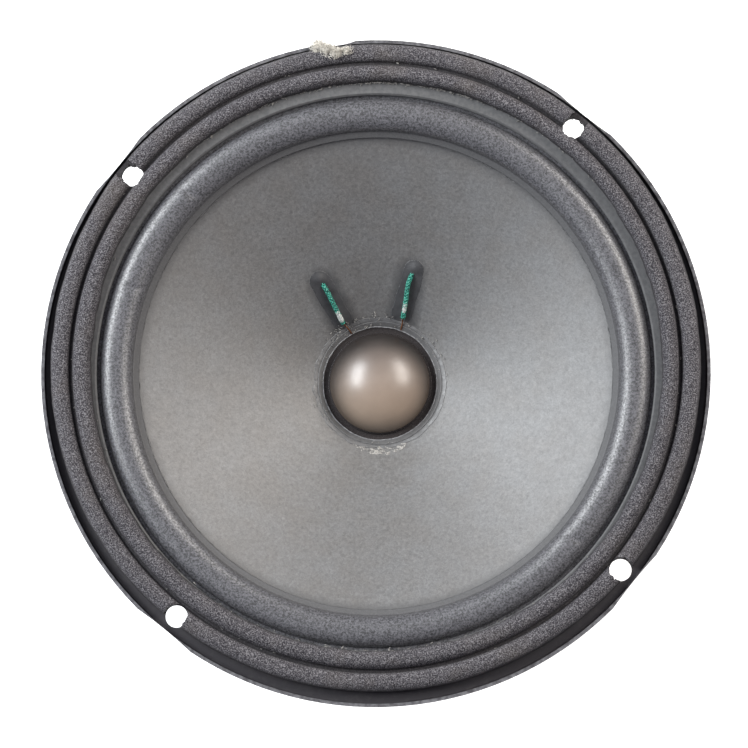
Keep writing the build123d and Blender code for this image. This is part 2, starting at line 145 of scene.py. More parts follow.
def resampled(points, step):
    """A polyline's points again, evenly spaced."""
    points = np.asarray(points, float)
    lengths = np.linalg.norm(np.diff(points, axis=0), axis=1)
    along = np.concatenate([[0], np.cumsum(lengths)])
    count = max(2, int(round(along[-1] / step)) + 1)
    wanted = np.linspace(0, along[-1], count)
    return np.column_stack([np.interp(wanted, along, points[:, i]) for i in range(points.shape[1])])


def softened(points, step, reach):
    """A polyline with its corners rounded over about a reach, and its ends kept."""
    points = resampled(points, step)
    for _ in range(int((reach / step) ** 2)):
        points[1:-1] = (points[:-2] + 2 * points[1:-1] + points[2:]) / 4
    return points


def thickened(line, thickness):
    """The closed outline of a strip of even thickness around a (radius, height) line."""
    tangent = np.gradient(line, axis=0)
    tangent /= np.linalg.norm(tangent, axis=1)[:, None]
    normal = np.column_stack([-tangent[:, 1], tangent[:, 0]])
    return np.vstack([line + normal * thickness / 2, (line - normal * thickness / 2)[::-1]])


def spline(points, step=0.25):
    """Points along the smooth NURBS curve that a route's points control."""
    curve = bpy.data.curves.new("route", "CURVE")
    curve.dimensions = "3D"
    line = curve.splines.new("NURBS")
    line.points.add(len(points) - 1)
    for point, place in zip(line.points, points):
        point.co = (*place, 1)
    line.order_u = 3
    line.use_endpoint_u = True
    line.resolution_u = 24
    holder = bpy.data.objects.new("route", curve)
    mesh = bpy.data.meshes.new_from_object(holder)
    found = np.array([v.co for v in mesh.vertices])
    bpy.data.objects.remove(holder)
    return resampled(found, step)


# ---- Meshes ----


def add_mesh(name, points, faces, paint, smooth=True):
    """A new object from points in millimetres."""
    mesh = bpy.data.meshes.new(name)
    mesh.from_pydata((np.asarray(points, float) * MM).tolist(), [], faces)
    mesh.validate()
    fixing = bmesh.new()
    fixing.from_mesh(mesh)
    bmesh.ops.remove_doubles(fixing, verts=fixing.verts, dist=1e-7)
    bmesh.ops.recalc_face_normals(fixing, faces=fixing.faces)
    fixing.to_mesh(mesh)
    fixing.free()
    mesh.polygons.foreach_set("use_smooth", [smooth] * len(mesh.polygons))
    piece = bpy.data.objects.new(name, mesh)
    bpy.context.scene.collection.objects.link(piece)
    mesh.materials.append(paint)
    return piece


def ring_faces(rows, columns):
    """Quads of a grid that closes on itself both ways."""
    i = np.arange(rows)[:, None]
    j = np.arange(columns)[None, :]
    a = i * columns + j
    b = ((i + 1) % rows) * columns + j
    c = ((i + 1) % rows) * columns + (j + 1) % columns
    d = i * columns + (j + 1) % columns
    return np.stack([a, b, c, d], axis=-1).reshape(-1, 4).tolist()


def turned(name, outline, count, paint, form=None):
    """A closed (radius, height) outline turned about the axis; form(points, radius, height, angle) gives
    each point's own radius and height."""
    outline = np.asarray(outline, float)
    angle = (np.arange(count) * 2 * pi / count)[:, None] * np.ones(len(outline))[None, :]
    radius = np.ones(count)[:, None] * outline[None, :, 0]
    height = np.ones(count)[:, None] * outline[None, :, 1]
    if form:
        points = np.stack([radius * np.cos(angle), radius * np.sin(angle), height], axis=-1)
        radius, height = form(points, radius, height, angle)
    points = np.stack([radius * np.cos(angle), radius * np.sin(angle), height], axis=-1)
    return add_mesh(name, points.reshape(-1, 3), ring_faces(count, len(outline)), paint)


def frames_along(path):
    """Two directions across a path at each of its points, without twist."""
    tangent = np.gradient(path, axis=0)
    tangent /= np.linalg.norm(tangent, axis=1)[:, None]
    side = np.cross(tangent[0], [0.13, 0.31, 0.94])
    side /= np.linalg.norm(side)
    sides = []
    for t in tangent:
        side = side - t * np.dot(side, t)
        side /= np.linalg.norm(side)
        sides.append(side)
    sides = np.array(sides)
    return sides, np.cross(tangent, sides)


def tube(path, radius, sides):
    """Points and faces of a closed tube; radius may be one number or one for each point."""
    path = np.asarray(path, float)
    across, up = frames_along(path)
    radius = np.ones(len(path)) * radius
    angle = np.arange(sides) * 2 * pi / sides
    ring = across[:, None, :] * np.cos(angle)[None, :, None] + up[:, None, :] * np.sin(angle)[None, :, None]
    points = path[:, None, :] + ring * radius[:, None, None]
    points = points.reshape(-1, 3)
    faces = []
    for i in range(len(path) - 1):
        for j in range(sides):
            k = (j + 1) % sides
            faces.append([i * sides + j, i * sides + k, (i + 1) * sides + k, (i + 1) * sides + j])
    faces.append(list(range(sides))[::-1])
    last = (len(path) - 1) * sides
    faces.append([last + j for j in range(sides)])
    return points, faces


def joined(shapes):
    """Several (points, faces) as one."""
    points, faces, start = [], [], 0
    for some_points, some_faces in shapes:
        points.append(some_points)
        faces += [[start + i for i in face] for face in some_faces]
        start += len(some_points)
    return np.vstack(points), faces


STRANDS = 8
STRAND_RADIUS = 0.17
BRAID_PITCH = 3.4
FRAYED_LENGTH = 1.2


def braid(path, radius, fray=0.0):
    """Strands wound both ways around a path, passing over and under each other."""
    path = resampled(path, 0.2)
    across, up = frames_along(path)
    along = np.concatenate([[0], np.cumsum(np.linalg.norm(np.diff(path, axis=0), axis=1))])
    shapes = []
    for i in range(STRANDS):
        way = 1 if i % 2 else -1
        start = 2 * pi * (i // 2) / (STRANDS / 2)
        angle = start + way * 2 * pi * along / BRAID_PITCH
        weave = 0.5 * STRAND_RADIUS * np.cos(2 * pi * along / BRAID_PITCH * STRANDS / 2 + i * pi)
        reach = radius - STRAND_RADIUS + weave
        if fray:
            ends = np.clip((along - (along[-1] - FRAYED_LENGTH)) / FRAYED_LENGTH, 0, 1)
            reach = reach + fray * ends * (0.4 + 0.6 * hashed(np.array([i, 3, 7]), 5))
        line = path + across * (np.cos(angle) * reach)[:, None] + up * (np.sin(angle) * reach)[:, None]
        shapes.append(tube(line, STRAND_RADIUS, 5))
    return joined(shapes)


# the cone's front face, found by rays from in front of it
cone_tree = BVHTree.FromObject(nodes["cone"], bpy.context.evaluated_depsgraph_get())
cone_radii = np.arange(14.4, 61.0, 0.2)
cone_heights = []
for sample in cone_radii:
    hit = cone_tree.ray_cast(Vector((0, -sample * MM, 0.05)), Vector((0, 0, -1)))[0]
    cone_heights.append(hit.z / MM)
cone_heights = np.array(cone_heights)


def cone_height(radius):
    """Height of the cone's front face at a radius."""
    return np.interp(radius, cone_radii, cone_heights)


def on_cone(radius, azimuth, above=0.0):
    """Point a distance above the cone's front face, at a radius and an azimuth in degrees."""
    slope = cone_height(radius + 0.5) - cone_height(radius - 0.5)
    out = 1 / sqrt(1 + slope**2)
    r = radius - slope * out * above
    z = float(cone_height(radius)) + out * above
    return np.array([r * cos(radians(azimuth)), r * sin(radians(azimuth)), z])


def patch_on_cone(name, centre, size, step, thickness, paint):
    """A closed film that lies on the cone's front. thickness(u, v) in millimetres, on a grid along (u) and
    across (v) the radius through centre = (radius, azimuth); where it is zero there is nothing."""
    radius, azimuth = centre
    out = np.array([cos(radians(azimuth)), sin(radians(azimuth))])
    side = np.array([-out[1], out[0]])
    u = np.arange(-size[0] / 2, size[0] / 2 + step, step)
    v = np.arange(-size[1] / 2, size[1] / 2 + step, step)
    grid_u, grid_v = np.meshgrid(u, v, indexing="ij")
    xy = out * (radius + grid_u)[..., None] + side * grid_v[..., None]
    ground = cone_height(np.linalg.norm(xy, axis=-1)) + 0.015
    thick = np.maximum(thickness(grid_u, grid_v, xy), 0)
    kept = thick > 0
    cells = kept[:-1, :-1] | kept[1:, :-1] | kept[:-1, 1:] | kept[1:, 1:]
    count_v = len(v)
    top = np.concatenate([xy, (ground + thick + 0.01)[..., None]], axis=-1).reshape(-1, 3)
    bottom = np.concatenate([xy, ground[..., None]], axis=-1).reshape(-1, 3)
    offset = len(top)
    faces = []
    for i, j in zip(*np.nonzero(cells)):
        quad = [i * count_v + j, (i + 1) * count_v + j, (i + 1) * count_v + j + 1, i * count_v + j + 1]
        faces.append(quad)
        faces.append([offset + k for k in quad[::-1]])
        around = (((i, j - 1), 0, 1), ((i + 1, j), 1, 2), ((i, j + 1), 2, 3), ((i - 1, j), 3, 0))
        for (a, b), first, second in around:
            inside = 0 <= a < cells.shape[0] and 0 <= b < cells.shape[1] and cells[a, b]
            if not inside:
                p, q = quad[first], quad[second]
                faces.append([q, p, offset + p, offset + q])
    points = np.vstack([top, bottom])
    used = np.unique([k for face in faces for k in face])
    place = {k: n for n, k in enumerate(used)}
    return add_mesh(name, points[used], [[place[k] for k in face] for face in faces], paint)


def blend_radially(piece):
    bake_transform(piece)
    count = len(piece.data.vertices)
    places = np.empty(count * 3)
    piece.data.vertices.foreach_get("co", places)


def lead_azimuth(side, radius):
    """Azimuth of a lead's line where it lies at a radius on the cone."""
    (low, low_azimuth), (high, high_azimuth), _ = LEADS[side]
    return np.interp(radius, [low, high, HOLE_AT], [low_azimuth, high_azimuth, LEAD_HOLES[side]])


def lead_hole(side):
    """Middle of a lead's hole in the cone, at no height."""
    azimuth = radians(LEAD_HOLES[side])
    return np.array([HOLE_AT * cos(azimuth), HOLE_AT * sin(azimuth), 0])


def lead_place(side, radius):
    """(x, y) of that point."""
    azimuth = radians(lead_azimuth(side, radius))
    return radius * cos(azimuth), radius * sin(azimuth)


# ---- Materials ----


class Paint:
    """A principled material, with short calls for the textures that vary it. Sizes are in millimetres."""

    def __init__(self, name, color, roughness, metallic=0.0, **sockets):
        self.material = bpy.data.materials.new(name)
        self.material.use_nodes = True
        self.tree = self.material.node_tree
        self.shader = self.tree.nodes["Principled BSDF"]
        self.set("Base Color", (*color, 1.0))
        self.set("Roughness", roughness)
        self.set("Metallic", metallic)
        for socket, value in sockets.items():
            self.set(socket.replace("_", " "), value)
        self.height = None

    def set(self, socket, value):
        self.shader.inputs[socket].default_value = value

    def node(self, kind, **settings):
        made = self.tree.nodes.new(kind)
        for key, value in settings.items():
            setattr(made, key, value)
        return made

    def place(self, stretch=(1, 1, 1)):
        """Coordinates in millimetres, shrunk along each axis by a stretch."""
        coordinates = self.node("ShaderNodeTexCoord")
        mapping = self.node("ShaderNodeMapping")
        mapping.inputs["Scale"].default_value = [1 / MM / s for s in stretch]
        self.tree.links.new(coordinates.outputs["Object"], mapping.inputs["Vector"])
        return mapping.outputs["Vector"]

    def grain(self, size, detail=3.0, roughness=0.55, stretch=(1, 1, 1), distortion=0.0):
        """Noise with features of a size."""
        made = self.node("ShaderNodeTexNoise")
        made.inputs["Scale"].default_value = 1 / size
        made.inputs["Detail"].default_value = detail
        made.inputs["Roughness"].default_value = roughness
        made.inputs["Distortion"].default_value = distortion
        self.tree.links.new(self.place(stretch), made.inputs["Vector"])
        return made.outputs["Fac"]

    def bands(self, size, direction, rings=False):
        """Waves a size apart."""
        made = self.node("ShaderNodeTexWave")
        if rings:
            made.wave_type = "RINGS"
            made.rings_direction = direction
        else:
            made.bands_direction = direction
        made.inputs["Scale"].default_value = 0.314 / size
        self.tree.links.new(self.place(), made.inputs["Vector"])
        return made.outputs["Fac"]

    def along(self, axis):
        """The place along one axis, in millimetres."""
        made = self.node("ShaderNodeSeparateXYZ")
        self.tree.links.new(self.place(), made.inputs["Vector"])
        return made.outputs[axis]

    def turned_away(self):
        """0 where the surface is seen square on, rising to 1 at its outline."""
        made = self.node("ShaderNodeLayerWeight")
        made.inputs["Blend"].default_value = 0.5
        return made.outputs["Facing"]

    def vector(self, operation, a, b):
        made = self.node("ShaderNodeVectorMath", operation=operation)
        for socket, value in zip(made.inputs, (a, b)):
            if isinstance(value, tuple):
                socket.default_value = value
            else:
                self.tree.links.new(value, socket)
        return made

    def from_segment(self, start, end):
        """Distance in plan from the segment between two (x, y) points, in millimetres."""
        flat = self.vector("MULTIPLY", self.place(), (1, 1, 0)).outputs["Vector"]
        run = (end[0] - start[0], end[1] - start[1], 0)
        length = sqrt(run[0] ** 2 + run[1] ** 2)
        away = self.vector("SUBTRACT", flat, (*start, 0)).outputs["Vector"]
        share = self.vector("DOT_PRODUCT", away, tuple(c / length**2 for c in run)).outputs["Value"]
        share = self.span(share, 0, 1)
        scaled = self.node("ShaderNodeVectorMath", operation="SCALE")
        scaled.inputs[0].default_value = run
        self.tree.links.new(share, scaled.inputs["Scale"])
        across = self.vector("SUBTRACT", away, scaled.outputs["Vector"]).outputs["Vector"]
        length_of = self.node("ShaderNodeVectorMath", operation="LENGTH")
        self.tree.links.new(across, length_of.inputs[0])
        return length_of.outputs["Value"]

    def from_axis(self):
        """Distance in plan from the driver's axis, in millimetres. The segment is too short to matter."""
        return self.from_segment((0, 0), (MM, 0))

    def math(self, operation, a, b):
        made = self.node("ShaderNodeMath", operation=operation)
        for socket, value in zip(made.inputs, (a, b)):
            if isinstance(value, (int, float)):
                socket.default_value = value
            else:
                self.tree.links.new(value, socket)
        return made.outputs["Value"]

    def span(self, value, low, high, to_low=0.0, to_high=1.0):
        """A value between low and high, spread over another range and held at its ends."""
        made = self.node("ShaderNodeMapRange")
        limits = {"From Min": low, "From Max": high, "To Min": to_low, "To Max": to_high}
        for socket, number in limits.items():
            made.inputs[socket].default_value = number
        self.tree.links.new(value, made.inputs["Value"])
        return made.outputs["Result"]

    def ramp(self, value, stops):
        """A colour for each value: stops are (position, (red, green, blue))."""
        made = self.node("ShaderNodeValToRGB")
        ramp = made.color_ramp
        while len(ramp.elements) < len(stops):
            ramp.elements.new(0.5)
        for element, (position, color) in zip(ramp.elements, stops):
            element.position = position
            element.color = (*color, 1)
        self.tree.links.new(value, made.inputs["Fac"])
        return made.outputs["Color"]

    def mixed(self, share, a, b, blend="MIX"):
        """Two colours, mixed by a share."""
        made = self.node("ShaderNodeMix", data_type="RGBA", blend_type=blend)
        for socket, value in ((made.inputs["Factor"], share), (made.inputs[6], a), (made.inputs[7], b)):
            if isinstance(value, (int, float)):
                socket.default_value = value
            elif isinstance(value, tuple):
                socket.default_value = (*value, 1)
            else:
                self.tree.links.new(value, socket)
        return made.outputs[2]

    def color(self, value):
        self.tree.links.new(value, self.shader.inputs["Base Color"])

    def rough(self, value):
        self.tree.links.new(value, self.shader.inputs["Roughness"])

    def bump(self, value, depth, strength=1.0):
        """Adds relief of a depth to the surface."""
        made = self.node("ShaderNodeBump")
        made.inputs["Strength"].default_value = strength
        made.inputs["Distance"].default_value = depth * MM
        self.tree.links.new(value, made.inputs["Height"])
        if self.height is not None:
            self.tree.links.new(self.height, made.inputs["Normal"])
        self.height = made.outputs["Normal"]
        self.tree.links.new(self.height, self.shader.inputs["Normal"])


def cone_paper():
    """Felted grey paper with a graphite sheen: cloudy tone, fine fibres, a few specks of dust, a dark soaked
    patch around each lead, and a darker edge where it meets the surround."""
    paint = Paint("cone_paper", (0.12, 0.12, 0.12), 0.59, IOR=1.8, Specular_IOR_Level=0.7)
    clouds = paint.grain(9.0, detail=4.0, roughness=0.6)
    tone = paint.ramp(clouds, [(0.35, (0.112, 0.108, 0.104)), (0.65, (0.124, 0.125, 0.126))])
    fibres = paint.grain(0.8, detail=5.0, roughness=0.85, distortion=0.6)
    fibres = paint.ramp(fibres, [(0.33, (0.2,) * 3), (0.67, (0.76,) * 3)])
    mottled = paint.mixed(0.8, tone, fibres, "OVERLAY")
    dust = paint.span(paint.grain(1.1, detail=6.0, roughness=0.8), 0.68, 0.74, 0.0, 0.7)
    color = paint.mixed(dust, mottled, (0.3, 0.29, 0.27))
    for side in LEADS:
        soak = paint.from_segment(lead_place(side, SOAK_FROM), lead_place(side, SOAK_TO))
        ragged = paint.math("ADD", soak, paint.span(paint.grain(2.5), 0.3, 0.7, -0.35, 0.35))
        color = paint.mixed(paint.span(ragged, 2.2, 4.9, 0.85, 0.0), color, (0.018, 0.0185, 0.021))
    edge = paint.span(paint.from_axis(), CONE_EDGE - 1.8, CONE_EDGE, 0.0, 0.6)
    paint.color(paint.mixed(edge, color, (0.03, 0.03, 0.032)))
    paint.rough(paint.span(paint.grain(1.5, detail=4.0), 0.3, 0.7, 0.56, 0.62))
    paint.bump(paint.grain(0.5, detail=4.0, roughness=0.7), 0.06, 0.6)
    paint.bump(paint.grain(5.0, detail=2.0), 0.04, 0.5)
    return paint.material


def rim_foam():
    """Coarse open-cell foam, near black, with paler cell walls, and painted shade: darker and flatter in tone
    low down, in its groove and down its sides.
    """
    paint = Paint("rim_foam", (0.07, 0.068, 0.07), 0.8, Specular_IOR_Level=0.3)
    cells = paint.grain(0.3, detail=2.0, roughness=0.6)
    stops = [(0.36, (0.016, 0.014, 0.018)), (0.5, (0.064, 0.06, 0.067)), (0.64, (0.21, 0.203, 0.213))]
    walls = paint.ramp(cells, stops)
    wear_and_glint = paint.span(paint.grain(14.0, detail=3.0), 0.5, 0.72, 0.0, 0.25)
    walls = paint.mixed(wear_and_glint, walls, (0.12, 0.1, 0.08))
    # painted shade: below the crests the foam is darkened, most in its groove and down its sides
    deep = paint.span(paint.along("Z"), 4.3, 5.3, 0.8, 0.0)
    paint.color(paint.mixed(deep, walls, (0.03, 0.028, 0.03)))
    paint.bump(paint.grain(0.3, detail=3.0, roughness=0.65), 0.22, 0.8)
    return paint.material


def surround_foam():
    """Fine dense foam with a soft sheen and a glitter of small cells, duller on its foot."""
    paint = Paint("surround_foam", (0.085, 0.085, 0.088), 0.5, Specular_IOR_Level=0.9)
    fine = paint.grain(0.5, detail=4.0, roughness=0.8)
    grains = paint.ramp(fine, [(0.4, (0.016, 0.016, 0.018)), (0.6, (0.16, 0.16, 0.174))])
    foot = paint.span(paint.from_axis(), ROLL_INNER - 0.5, ROLL_INNER + 0.4, 0.85, 0.0)
    paint.color(paint.mixed(foot, grains, (0.07, 0.07, 0.072)))
    shine = paint.span(fine, 0.4, 0.6, 0.52, 0.3)
    paint.rough(paint.math("MAXIMUM", shine, paint.span(foot, 0.0, 0.85, 0.0, 0.68)))
    paint.bump(fine, 0.07, 0.8)
    paint.bump(paint.grain(3.0, detail=3.0), 0.06, 0.4)
    return paint.material


def black_steel():
    """Satin black paint on pressed steel, dusty, with a painted glint: lighter grey in broken patches along
    the lip's top edge.
    """
    paint = Paint("black_steel", (0.05, 0.048, 0.052), 0.42, Specular_IOR_Level=0.45)
    dust = paint.span(paint.grain(2.2, detail=6.0, roughness=0.72), 0.5, 0.8, 0.0, 0.6)
    painted = paint.mixed(dust, (0.05, 0.047, 0.052), (0.09, 0.086, 0.085))
    # painted glint: the lip's top edge is made lighter grey in broken patches
    edge = paint.span(paint.along("Z"), LIP_TOP - 0.2, LIP_TOP - 0.02)
    wear_and_glint = paint.math("MULTIPLY", edge, paint.span(paint.grain(1.6, detail=5.0), 0.38, 0.6, 0.15, 0.9))
    paint.color(paint.mixed(wear_and_glint, painted, (0.17, 0.17, 0.18)))
    paint.rough(paint.span(paint.grain(0.8, detail=4.0), 0.35, 0.7, 0.34, 0.52))
    paint.bump(paint.grain(0.6, detail=2.0), 0.02, 0.5)
    return paint.material


def grained(name, color, roughness, grain, stops=None, rough=None, relief=None, **sockets):
    """A material whose tones, roughness and relief follow grains, each given as Paint.grain() takes it.
    rough is (grain, from, to) and relief is (grain, depth, strength); a grain of None means the first."""
    paint = Paint(name, color, roughness, **sockets)
    first = paint.grain(*grain)
    if stops:
        paint.color(paint.ramp(first, stops))
    if rough:
        paint.rough(paint.span(paint.grain(*rough[0]) if rough[0] else first, 0.3, 0.7, *rough[1:]))
    if relief:
        paint.bump(paint.grain(*relief[0]) if relief[0] else first, *relief[1:])
    return paint.material


def pressboard():
    """Smooth dark grey board, slightly fibrous."""
    stops = [(0.35, (0.103, 0.104, 0.106)), (0.65, (0.14, 0.141, 0.143))]
    rough, relief = ((3.0,), 0.52, 0.66), (None, 0.03, 0.5)
    sheen = {"Specular_IOR_Level": 0.35}
    return grained("pressboard", (0.12, 0.12, 0.123), 0.6, (0.9, 5.0, 0.6), stops, rough, relief, **sheen)


def dome_skin():
    """Satin bronze-brown skin with painted shading: lighter on its -Y side and darker on its +Y side, and
    darker towards its outline around its foot.
    """
    paint = Paint("dome_skin", (0.28, 0.22, 0.18), 0.37, Specular_IOR_Level=0.95)
    # painted shading: the brown runs from light on the -Y side to dark on the +Y side
    stops = [
        (0.0, (0.44, 0.335, 0.25)),
        (0.2, (0.38, 0.29, 0.22)),
        (0.35, (0.325, 0.25, 0.195)),
        (0.5, (0.28, 0.222, 0.182)),
        (0.68, (0.18, 0.145, 0.123)),
        (0.85, (0.1, 0.083, 0.075)),
    ]
    reach = DOME_RADIUS + 0.1
    brown = paint.ramp(paint.span(paint.along("Y"), -reach, reach), stops)
    # painted shade: darker where the skin turns away from the view, towards the dome's outline
    foot = paint.ramp(
        paint.turned_away(),
        [(0.12, (1,) * 3), (0.22, (0.92,) * 3), (0.3, (0.74,) * 3), (0.4, (0.5,) * 3), (0.52, (0.27,) * 3)],
    )
    brown = paint.mixed(1.0, brown, foot, "MULTIPLY")
    haze = paint.ramp(paint.grain(3.5, detail=3.0), [(0.3, (0.93, 0.93, 0.93)), (0.7, (1, 1, 1))])
    paint.color(paint.mixed(1.0, brown, haze, "MULTIPLY"))
    paint.rough(paint.span(paint.grain(1.6, detail=5.0), 0.3, 0.7, 0.355, 0.4))
    paint.bump(paint.grain(1.2, detail=3.0), 0.004, 0.3)
    return paint.material


def glossy_black():
    """Set black cement: glossy, lumpy, with specks."""
    paint = Paint("glossy_black", (0.012, 0.011, 0.011), 0.22)
    specks = paint.span(paint.grain(0.45, detail=6.0, roughness=0.8), 0.72, 0.78)
    paint.color(paint.mixed(specks, (0.045, 0.04, 0.04), (0.24, 0.23, 0.21)))
    paint.rough(paint.span(paint.grain(1.1, detail=4.0), 0.35, 0.7, 0.18, 0.34))
    paint.bump(paint.grain(1.4, detail=1.0), 0.05, 0.4)
    return paint.material


def grey_film():
    """Thin clear cement dried over the paper, with dust caught in it."""
    paint = Paint("grey_film", (0.11, 0.11, 0.113), 0.5, IOR=1.8, Specular_IOR_Level=0.7)
    specks = paint.span(paint.grain(0.4, detail=6.0, roughness=0.8), 0.66, 0.74)
    stops = [(0.3, (0.06, 0.06, 0.061)), (0.7, (0.1, 0.1, 0.102))]
    cloudy = paint.ramp(paint.grain(1.3, detail=4.0), stops)
    paint.color(paint.mixed(specks, cloudy, (0.3, 0.29, 0.28)))
    paint.rough(paint.span(paint.grain(1.1, detail=4.0), 0.35, 0.7, 0.5, 0.62))
    paint.bump(paint.grain(0.7, detail=4.0), 0.06, 0.6)
    return paint.material


def pale_line():
    """The bright pressed line around the cap."""
    stops = [(0.3, (0.1, 0.1, 0.105)), (0.7, (0.36, 0.36, 0.37))]
    rough, relief = ((1.4,), 0.28, 0.5), ((0.5, 3.0), 0.05, 0.5)
    sheen = {"Specular_IOR_Level": 0.6}
    return grained("pale_line", (0.3, 0.3, 0.31), 0.35, (0.9, 4.0), stops, rough, relief, **sheen)


def black_dope():
    """Thin dark rubbery dope, soaked unevenly into the paper."""
    stops = [(0.3, (0.022, 0.0225, 0.025)), (0.7, (0.038, 0.039, 0.043))]
    rough, relief = (None, 0.52, 0.62), ((0.5, 3.0), 0.03, 0.5)
    sheen = {"IOR": 1.8, "Specular_IOR_Level": 0.6}
    return grained("black_dope", (0.02, 0.021, 0.023), 0.58, (2.2, 4.0), stops, rough, relief, **sheen)


def pale_crust():
    """Dried pale glue with dust in it."""
    stops = [(0.35, (0.13, 0.125, 0.12)), (0.62, (0.4, 0.385, 0.36))]
    return grained("pale_crust", (0.3, 0.29, 0.27), 0.6, (0.35, 4.0), stops, relief=((0.3, 3.0), 0.06, 0.8))


def green_braid():
    """Copper braid gone green, with bright threads showing."""
    paint = Paint("green_braid", (0.05, 0.35, 0.25), 0.42, metallic=0.1, Specular_IOR_Level=0.7)
    patches = paint.grain(0.6, detail=5.0, roughness=0.7)
    stops = [(0.32, (0.004, 0.045, 0.04)), (0.48, (0.015, 0.2, 0.15))]
    stops += [(0.6, (0.05, 0.42, 0.31)), (0.72, (0.5, 0.64, 0.58))]
    paint.color(paint.ramp(patches, stops))
    paint.rough(paint.span(paint.grain(0.5), 0.3, 0.7, 0.25, 0.6))
    paint.bump(paint.grain(0.2, detail=3.0), 0.04, 0.7)
    return paint.material


def dull_solder():
    """Grey-white solder with green creeping in from its ends."""
    stops = [(0.3, (0.05, 0.3, 0.22)), (0.42, (0.5, 0.56, 0.52)), (0.6, (0.82, 0.84, 0.82))]
    rough, relief = (None, 0.55, 0.3), ((0.4, 4.0), 0.08, 0.8)
    creep = (0.7, 5.0, 0.65)
    return grained("dull_solder", (0.7, 0.72, 0.7), 0.38, creep, stops, rough, relief, metallic=0.35)


def copper(name, color, roughness):
    """Copper with patchy tarnish."""
    paint = Paint(name, color, roughness, metallic=0.85)
    tarnish = paint.grain(1.2, detail=5.0)
    dark = tuple(c * 0.45 for c in color)
    paint.color(paint.ramp(tarnish, [(0.35, dark), (0.62, color)]))
    paint.rough(paint.span(tarnish, 0.3, 0.7, roughness + 0.2, roughness - 0.05))
    paint.bump(paint.grain(0.3), 0.01, 0.5)
    return paint


def wound_copper():
    """Enamelled wire wound side by side."""
    paint = copper("wound_copper", (0.62, 0.26, 0.12), 0.28)
    paint.bump(paint.bands(0.32, "Z"), 0.09, 1.0)
    return paint.material


def zinc_steel():
    """Machined steel with pale zinc plating and faint turning marks."""
    paint = Paint("zinc_steel", (0.26, 0.25, 0.225), 0.38, metallic=0.9)
    cloud = paint.grain(7.0, detail=4.0)
    paint.color(paint.ramp(cloud, [(0.3, (0.17, 0.165, 0.152)), (0.7, (0.3, 0.288, 0.258))]))
    paint.rough(paint.span(paint.grain(1.5, detail=5.0), 0.3, 0.7, 0.26, 0.46))
    paint.bump(paint.bands(0.45, "Z", rings=True), 0.006, 0.6)
    paint.bump(paint.grain(1.0, detail=4.0), 0.01, 0.5)
    return paint.material


def ferrite():
    """Sintered ferrite: dark grey, fine pits and slight chalky marks."""
    stops = [(0.35, (0.04, 0.04, 0.043)), (0.6, (0.075, 0.075, 0.08)), (0.75, (0.16, 0.16, 0.16))]
    marks, rough, relief = (5.0, 6.0, 0.65, (1, 1, 2.5)), (None, 0.5, 0.72), ((0.4, 4.0, 0.7), 0.05, 0.7)
    return grained("ferrite", (0.06, 0.06, 0.064), 0.62, marks, stops, rough, relief)


def spider_cloth():
    """Amber resin-treated weave."""
    paint = Paint("spider_cloth", (0.5, 0.34, 0.12), 0.7, Sheen_Weight=0.2)
    warp = paint.bands(0.42, "X")
    weft = paint.bands(0.42, "Y")
    weave = paint.math("MULTIPLY", warp, weft)
    threads = paint.ramp(weave, [(0.05, (0.2, 0.12, 0.035)), (0.6, (0.56, 0.39, 0.15))])
    stains = paint.span(paint.grain(6.0, detail=3.0), 0.4, 0.7, 0.0, 0.4)
    paint.color(paint.mixed(stains, threads, (0.3, 0.17, 0.05)))
    paint.rough(paint.span(weave, 0.0, 1.0, 0.8, 0.58))
    paint.bump(weave, 0.1, 0.9)
    return paint.material


def black_thread():
    """Fine black screen thread."""
    stops = [(0.3, (0.018, 0.018, 0.018)), (0.7, (0.05, 0.05, 0.05))]
    return grained("black_thread", (0.03, 0.03, 0.03), 0.6, (0.5,), stops, relief=((0.15,), 0.03, 0.6))


def laminate():
    """Brown paper laminate."""
    stops = [(0.3, (0.15, 0.07, 0.028)), (0.7, (0.29, 0.155, 0.065))]
    fibres, rough, relief = (1.6, 6.0, 0.6, (4, 1, 1)), (None, 0.34, 0.5), (None, 0.02, 0.5)
    return grained("laminate", (0.22, 0.11, 0.045), 0.42, fibres, stops, rough, relief)


def tinned_brass():
    """Tin plating, scuffed."""
    stops = [(0.32, (0.24, 0.215, 0.17)), (0.6, (0.42, 0.4, 0.36))]
    scuffs, rough, relief = (0.9, 6.0, 0.7, (1, 3, 3)), (None, 0.42, 0.22), (None, 0.01, 0.5)
    return grained("tinned_brass", (0.4, 0.38, 0.33), 0.3, scuffs, stops, rough, relief, metallic=0.95)


def bright_steel():
    """Plated rivets, slightly dulled."""
    stops = [(0.32, (0.19, 0.185, 0.175)), (0.62, (0.36, 0.36, 0.35))]
    dull, rough, relief = (1.1, 5.0), (None, 0.42, 0.22), ((0.5,), 0.012, 0.5)
    return grained("bright_steel", (0.34, 0.34, 0.33), 0.3, dull, stops, rough, relief, metallic=0.95)


def foil():
    """Thin aluminium former."""
    streaks, rough, relief = (1.5, 4.0, 0.55, (1, 1, 6)), (None, 0.22, 0.42), ((1.0,), 0.01, 0.4)
    return grained("foil", (0.72, 0.72, 0.72), 0.3, streaks, None, rough, relief, metallic=0.95)


def kraft():
    """Brown kraft paper collar."""
    stops = [(0.3, (0.33, 0.22, 0.12)), (0.7, (0.5, 0.36, 0.22))]
    fibres = (0.8, 5.0, 0.55, (1, 1, 3))
    return grained("kraft", (0.42, 0.29, 0.17), 0.75, fibres, stops, relief=(None, 0.03, 0.5))


def amber_glue():
    """Clear brown cement at the neck."""
    stops, relief = [(0.3, (0.2, 0.1, 0.03)), (0.7, (0.42, 0.24, 0.08))], ((1.0,), 0.15, 0.6)
    return grained("amber_glue", (0.32, 0.17, 0.05), 0.15, (1.2, 3.0), stops, None, relief, Coat_Weight=0.3)


